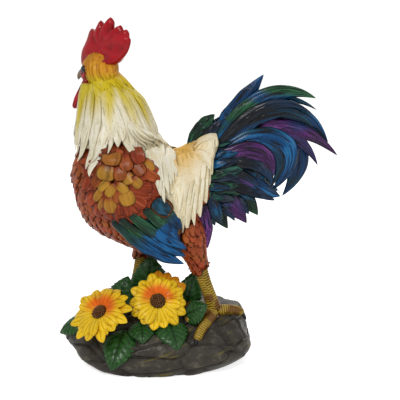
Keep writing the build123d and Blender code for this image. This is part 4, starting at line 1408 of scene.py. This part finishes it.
class ROOSTER_OT_head(bpy.types.Operator):
    """The combed head with its face, comb, beak, wattles and eyes"""

    bl_idname = "rooster.head"
    bl_label = "Head"

    def execute(self, context):
        self.made = paints(context)
        self.skin = Skin("head")
        coat_nodes(self.made["ochre_under"], "head")
        self.cap()
        self.face()
        self.comb()
        self.beak()
        for side, sign in SIDES.items():
            out = HEAD_LEFT * -sign
            self.wattle(side, sign, out)
            self.eye(side, out)
        return {"FINISHED"}

    def cap(self):
        """Short combed tufts all over the head, yellower below."""
        casting = Casting()

        def place(s, t):
            way = spoke(spoke(HEAD_WAY, HEAD_LEFT, math.pi * t), UP, math.pi * (s - 0.5))
            point, normal = self.skin.towards(HEAD + way * 60, HEAD)
            off = point - HEAD
            forward, left = off.dot(HEAD_WAY), off.dot(HEAD_LEFT)
            flow = off.z * 0.8 - forward * 0.5
            across = off.z * 0.5 + forward * 0.8
            tuft = ripple(flow * 0.22, across * 0.75, left * 0.3)
            fine = ripple(flow * 0.4, across * 2.2, left * 0.5)
            low = smooth(-2, -13, off.z + 5 * fine)
            return point + normal * (0.5 + 0.5 * tuft + 0.2 * fine), 0.62 + 0.35 * tuft + 0.25 * fine, low

        casting.lay(90, 160, place)
        casting.finish("head_cap", self.made["ochre"], "face_ochre")

    def face(self):
        """Small red scales between the eyes and the beak."""
        casting = Casting()
        draw = random.Random(13)

        def outside(point, normal):
            off = point - HEAD
            return off.dot(normal) > 2 and 6.5 < off.dot(HEAD_WAY) < 16 and off.z < 0.5

        for spot in self.skin.scatter(2.3, 41, outside, 7000):
            lay_scale(casting, spot, UP * -1.0, (5.0, 4.0, 0.5), draw.random(), profile=spade)
        casting.finish("face_skin", self.made["crimson"], "comb_red")

    def comb(self):
        """A thick comb whose folds run out to its points."""
        count = len(COMB_OUTLINE)
        foot = Vector(COMB_FOOT)
        casting = Casting()

        def outline(s):
            spot = s * count
            near = [Vector(COMB_OUTLINE[(int(spot) + shift) % count]) for shift in (-1, 0, 1, 2)]
            return curve_through(near, spot % 1.0)

        def place(s, t):
            inward = abs(t)
            spot = between(foot, outline(s % 1.0), 1 - inward)
            fold = 0.5 + 0.5 * math.cos(math.tau * s * COMB_FOLDS + 2 * ripple(s * 6, 0.3, 0))
            round_off = math.sqrt(1 - (1 - min(1.0, inward * 2.0)) ** 2)
            dents = 0.5 * ripple(spot.x * 0.16, spot.y * 0.16, t)
            flare = 9.0 * smooth(15, 5, spot.y) * smooth(14, 2, spot.x)
            depth = COMB_THICK / 2 * round_off + (fold * 0.7 + dents + flare) * round_off * (1 - inward)
            point = at_head(spot.x, depth if t >= 0 else -depth, spot.y - COMB_SINK)
            return point, 0.66 + 0.2 * fold + 0.5 * dents, 0.0

        casting.lay(198, 36, place)
        casting.finish("carved_comb", self.made["crimson"], "comb_red", "comb")

    def beak(self):
        """Both halves of the beak."""
        casting = Casting()
        for forward, lift, length, hook, radius in BEAK_HALVES:
            pulls = ((0, 0), (0.5, 0.6), (1, -hook * 0.3), (1, -hook))
            points = [at_head(forward + length * reach, 0, lift + rise) for reach, rise in pulls]

            def girth(s, turn):
                flat = 1 - 0.25 * abs(math.sin(turn))
                return radius * smooth(0, 0.05, s) * (1 - s) ** 0.55 * flat, 0.9

            lay_limb(
                casting, bezier_spine(points, HEAD_LEFT), girth, (26, 20), 0.5,
                lambda s, p: smooth(0.5, 0.3, s),
            )
        casting.finish("horn_beak", self.made["horn"], "beak_horn", "upper_beak", "lower_beak")

    def wattle(self, side, sign, out):
        """A flap that hangs below the beak."""
        casting = Casting()
        hang = at_head(13.7, 0, -5.2) + out * 3.5
        sway = HEAD_WAY * 14.5 + out * 2
        points = [hang, hang - UP * 9, hang - UP * 21 + sway * 0.6, hang - UP * 31 + sway]
        lay_blade(
            casting, bezier_spine(points, out), WATTLE_WIDTH, WATTLE_THICK, flap_shape,
            strands(sign * 3.3, 1.2, 0.5, 1.0), (30, 20), 0.5, belly=1,
        )
        casting.finish(f"{side}_wattle_flap", self.made["crimson"], "comb_red", f"{side}_wattle")

    def eye(self, side, out):
        """A glass ball in a dark ring."""
        middle = node_middle(f"{side}_eye") + out * 0.9 - HEAD_WAY * 0.8
        ball = Casting()
        ball.lay(24, 32, lambda s, t: (middle + ball_way(s, t) * EYE_RADIUS, 0.5, 0.0))
        ball.finish(f"{side}_glass_eye", self.made["eye"], "eye_black", f"{side}_eye")
        lid = Casting()

        def ring(s, t):
            around = math.pi * t
            rise = out * (0.8 + 0.8 * math.sin(around))
            reach = spoke(HEAD_WAY, UP, s * math.tau) * (LID_RADIUS + LID_THICK * math.cos(around))
            return middle + rise + reach, 0.6, 0.0

        lid.lay(28, 8, ring)
        lid.finish(f"{side}_eyelid", self.made["claw"], "eye_black")


class ROOSTER_OT_flowers(bpy.types.Operator):
    """Two layers of petals round stippled discs"""

    bl_idname = "rooster.flowers"
    bl_label = "Sunflowers"

    def execute(self, context):
        made = paints(context)
        draw = random.Random(17)
        for side, (facing, count, length) in FLOWERS.items():
            coat_nodes(made["stem"], f"{side}_flower_stem")
            coat_nodes(made["disc"], f"{side}_flower_disc")
            normal = Vector(facing).normalized()
            middle = node_middle(f"{side}_flower_disc")
            right = UP.cross(normal).normalized()
            up = normal.cross(right)
            petals = Casting()

            def orange(s, point):
                return smooth(0.75, 0.3, s) * smooth(-6, 6, (point - middle).dot(up))

            for turn in BACK_PETALS if side == "right" else ():
                way = spoke(right, up, math.radians(turn))
                root = middle + way * 8 - normal * 4
                points = [root, root + way * 8 + normal, root + way * 15, root + way * 22 - normal * 2]
                # Darkest tone and a half-orange tint: painted shade on the petals that sit in shadow behind
                # the flower
                lay_blade(
                    petals, bezier_spine(points, normal), 11.0, 1.7, petal_shape, creased, (16, 16), 0.0,
                    lambda s, p: 0.55, cup=-0.5,
                )
            for layer, (reach, sunk) in enumerate(PETAL_LAYERS):
                for step in range(count):
                    turn = math.tau * (step + 0.5 * layer) / count + draw.uniform(-0.06, 0.06)
                    way = spoke(right, up, turn)
                    run = (length + 2.5) * reach * draw.uniform(0.92, 1.06)
                    root = middle + way * 5 + normal * sunk
                    points = [
                        root,
                        root + way * run * 0.35 + normal * (2.5 + layer * 1.4),
                        root + way * run * 0.75 + normal * (2.0 + draw.uniform(-1.5, 2.6)),
                        root + way * run + normal * draw.uniform(-4.0, 3.0),
                    ]
                    lay_blade(
                        petals, bezier_spine(points, normal), PETAL_WIDTH - layer, PETAL_THICK, petal_shape,
                        creased, (16, 16), draw.uniform(0.3, 0.8), orange, cup=-0.5,
                    )
            petals.finish(f"{side}_flower_bloom", made["petal"], "petal_yellow", f"{side}_flower_petals")

            disc = Casting()
            golden_turn = math.pi * (3 - math.sqrt(5))
            for step in range(FLORETS):
                share = math.sqrt((step + 0.5) / FLORETS)
                way = spoke(right, up, step * golden_turn)
                seat = middle + way * (share * DISC_RADIUS) + normal * (DISC_DOME * (1 - share * share) + 0.4)
                points = [seat, seat + normal * 0.8, seat + normal * 1.4, seat + normal * 2.0]
                lay_limb(
                    disc, bezier_spine(points, way),
                    lambda s, turn: (0.85 * math.sqrt(max(0, 1 - s * s)) * smooth(0, 0.1, s), s),
                    (4, 6), draw.random(),
                )
            disc.finish(f"{side}_flower_florets", made["disc"], "disc_brown")
        return {"FINISHED"}


class ROOSTER_OT_leaves(bpy.types.Operator):
    """Toothed, veined leaves round the flowers"""

    bl_idname = "rooster.leaves"
    bl_label = "Leaves"

    def execute(self, context):
        made = paints(context)
        rock = Skin("rock_base")
        draw = random.Random(19)
        for name, (width, place, lift, run, facing) in LEAVES.items():
            root = rock.below(place[0] * ROCK_LENGTH, place[1] * ROCK_DEPTH) + UP * lift
            run, facing = Vector(run), Vector(facing).normalized()
            points = [
                root - run * 0.05,
                root + run * 0.35 + facing * 3.0,
                root + run * 0.7 + facing * 2.4,
                root + run * 1.06 - facing * 1.5,
            ]
            casting = Casting()
            lay_blade(
                casting, bezier_spine(points, facing), width * LEAF_SPREAD, LEAF_THICK, leaf_shape, veined,
                (81, 32), draw.uniform(0.3, 0.8), belly=1, cup=2.2,
            )
            casting.finish(f"{name}_veined", made["leaf"], "leaf_green", name)
        return {"FINISHED"}


def background_ray(tree):
    """1 for rays that should meet a white background: from the camera, mirrored, or through glass."""
    path = add_node(tree, "ShaderNodeLightPath").outputs
    seen = add_node(
        tree, "ShaderNodeMath", {0: path["Is Camera Ray"], 1: path["Is Glossy Ray"]}, operation="ADD"
    )
    every = add_node(
        tree, "ShaderNodeMath", {0: seen.outputs[0], 1: path["Is Transmission Ray"]}, operation="ADD",
        use_clamp=True,
    )
    return every.outputs[0]


class ROOSTER_OT_stage(bpy.types.Operator):
    """Pale floor, soft lamps and the camera"""

    bl_idname = "rooster.stage"
    bl_label = "Stage"

    def execute(self, context):
        scene = context.scene
        self.floor(scene)
        self.light(scene)
        self.view(scene)
        scene.view_settings.view_transform = "Standard"
        return {"FINISHED"}

    def floor(self, scene):
        """Matt paper that looks white and keeps the figure's shadow."""
        material, tree, shader, _ = start_material("Pale paper floor")
        seen = background_ray(tree)
        glow = add_node(tree, "ShaderNodeMath", {0: seen, 1: FLOOR_GLOW}, operation="MULTIPLY")
        set_sockets(shader, {
            "Base Color": hex_colour("#F4F4F2"),
            "Roughness": 0.9,
            "Specular IOR Level": 0.0,
            "Emission Color": WHITE,
            "Emission Strength": glow.outputs[0],
        })
        ground = bmesh.new()
        bmesh.ops.create_circle(ground, cap_ends=True, segments=64, radius=FLOOR_RADIUS_M)
        mesh = bpy.data.meshes.new("floor")
        ground.to_mesh(mesh)
        ground.free()
        mesh.materials.append(material)
        floor = bpy.data.objects.new("floor", mesh)
        scene.collection.objects.link(floor)

    def light(self, scene):
        """Soft lamps in a white room."""
        for name, (energy, size, place) in LAMPS.items():
            lamp = bpy.data.lights.new(name, "AREA")
            lamp.energy = energy
            lamp.size = size
            holder = bpy.data.objects.new(name, lamp)
            holder.location = place
            holder.rotation_euler = (LAMP_AIM - Vector(place)).to_track_quat("-Z", "Y").to_euler()
            scene.collection.objects.link(holder)
        world = bpy.data.worlds.new("Soft white room")
        world.use_nodes = True
        sky = world.node_tree
        strength = add_node(
            sky, "ShaderNodeMapRange", {"Value": background_ray(sky), "To Min": ROOM_LIGHT, "To Max": 1.0}
        )
        set_sockets(sky.nodes["Background"], {"Color": WHITE, "Strength": strength.outputs["Result"]})
        scene.world = world

    def view(self, scene):
        """The camera, at the photograph's viewing angle."""
        lens = bpy.data.cameras.new("photo_view")
        lens.sensor_width = SENSOR_WIDTH
        lens.lens = LENS_LENGTH
        camera = bpy.data.objects.new("photo_view", lens)
        back = Vector((0, -math.cos(VIEW_ELEVATION), math.sin(VIEW_ELEVATION)))
        camera.location = (VIEW_TARGET + back * VIEW_DISTANCE) * MM
        camera.rotation_euler = (math.pi / 2 - VIEW_ELEVATION, 0, 0)
        scene.collection.objects.link(camera)
        scene.camera = camera


OPERATORS = (
    ROOSTER_OT_base,
    ROOSTER_OT_legs,
    ROOSTER_OT_breast,
    ROOSTER_OT_wings,
    ROOSTER_OT_hackles,
    ROOSTER_OT_tail,
    ROOSTER_OT_head,
    ROOSTER_OT_flowers,
    ROOSTER_OT_leaves,
    ROOSTER_OT_stage,
)


class ROOSTER_PT_panel(bpy.types.Panel):
    """Lists the pieces and their settings"""

    bl_label = "Cast Rooster"
    bl_idname = "ROOSTER_PT_panel"
    bl_space_type = "VIEW_3D"
    bl_region_type = "UI"
    bl_category = "Rooster"

    def draw(self, context):
        for group in (context.scene.rooster_paint, context.scene.rooster_relief):
            for name in group.__annotations__:
                self.layout.prop(group, name)
        for operator in OPERATORS:
            self.layout.operator(operator.bl_idname)


CLASSES = (RoosterPaint, RoosterRelief, *OPERATORS, ROOSTER_PT_panel)


def register():
    for entry in CLASSES:
        bpy.utils.register_class(entry)
    bpy.types.Scene.rooster_paint = bpy.props.PointerProperty(type=RoosterPaint)
    bpy.types.Scene.rooster_relief = bpy.props.PointerProperty(type=RoosterRelief)


def unregister():
    del bpy.types.Scene.rooster_relief
    del bpy.types.Scene.rooster_paint
    for entry in reversed(CLASSES):
        bpy.utils.unregister_class(entry)


def main():
    """Register the classes and dress the figure."""
    register()
    for operator in OPERATORS:
        group, name = operator.bl_idname.split(".")
        getattr(getattr(bpy.ops, group), name)()


if __name__ == "__main__":
    main()
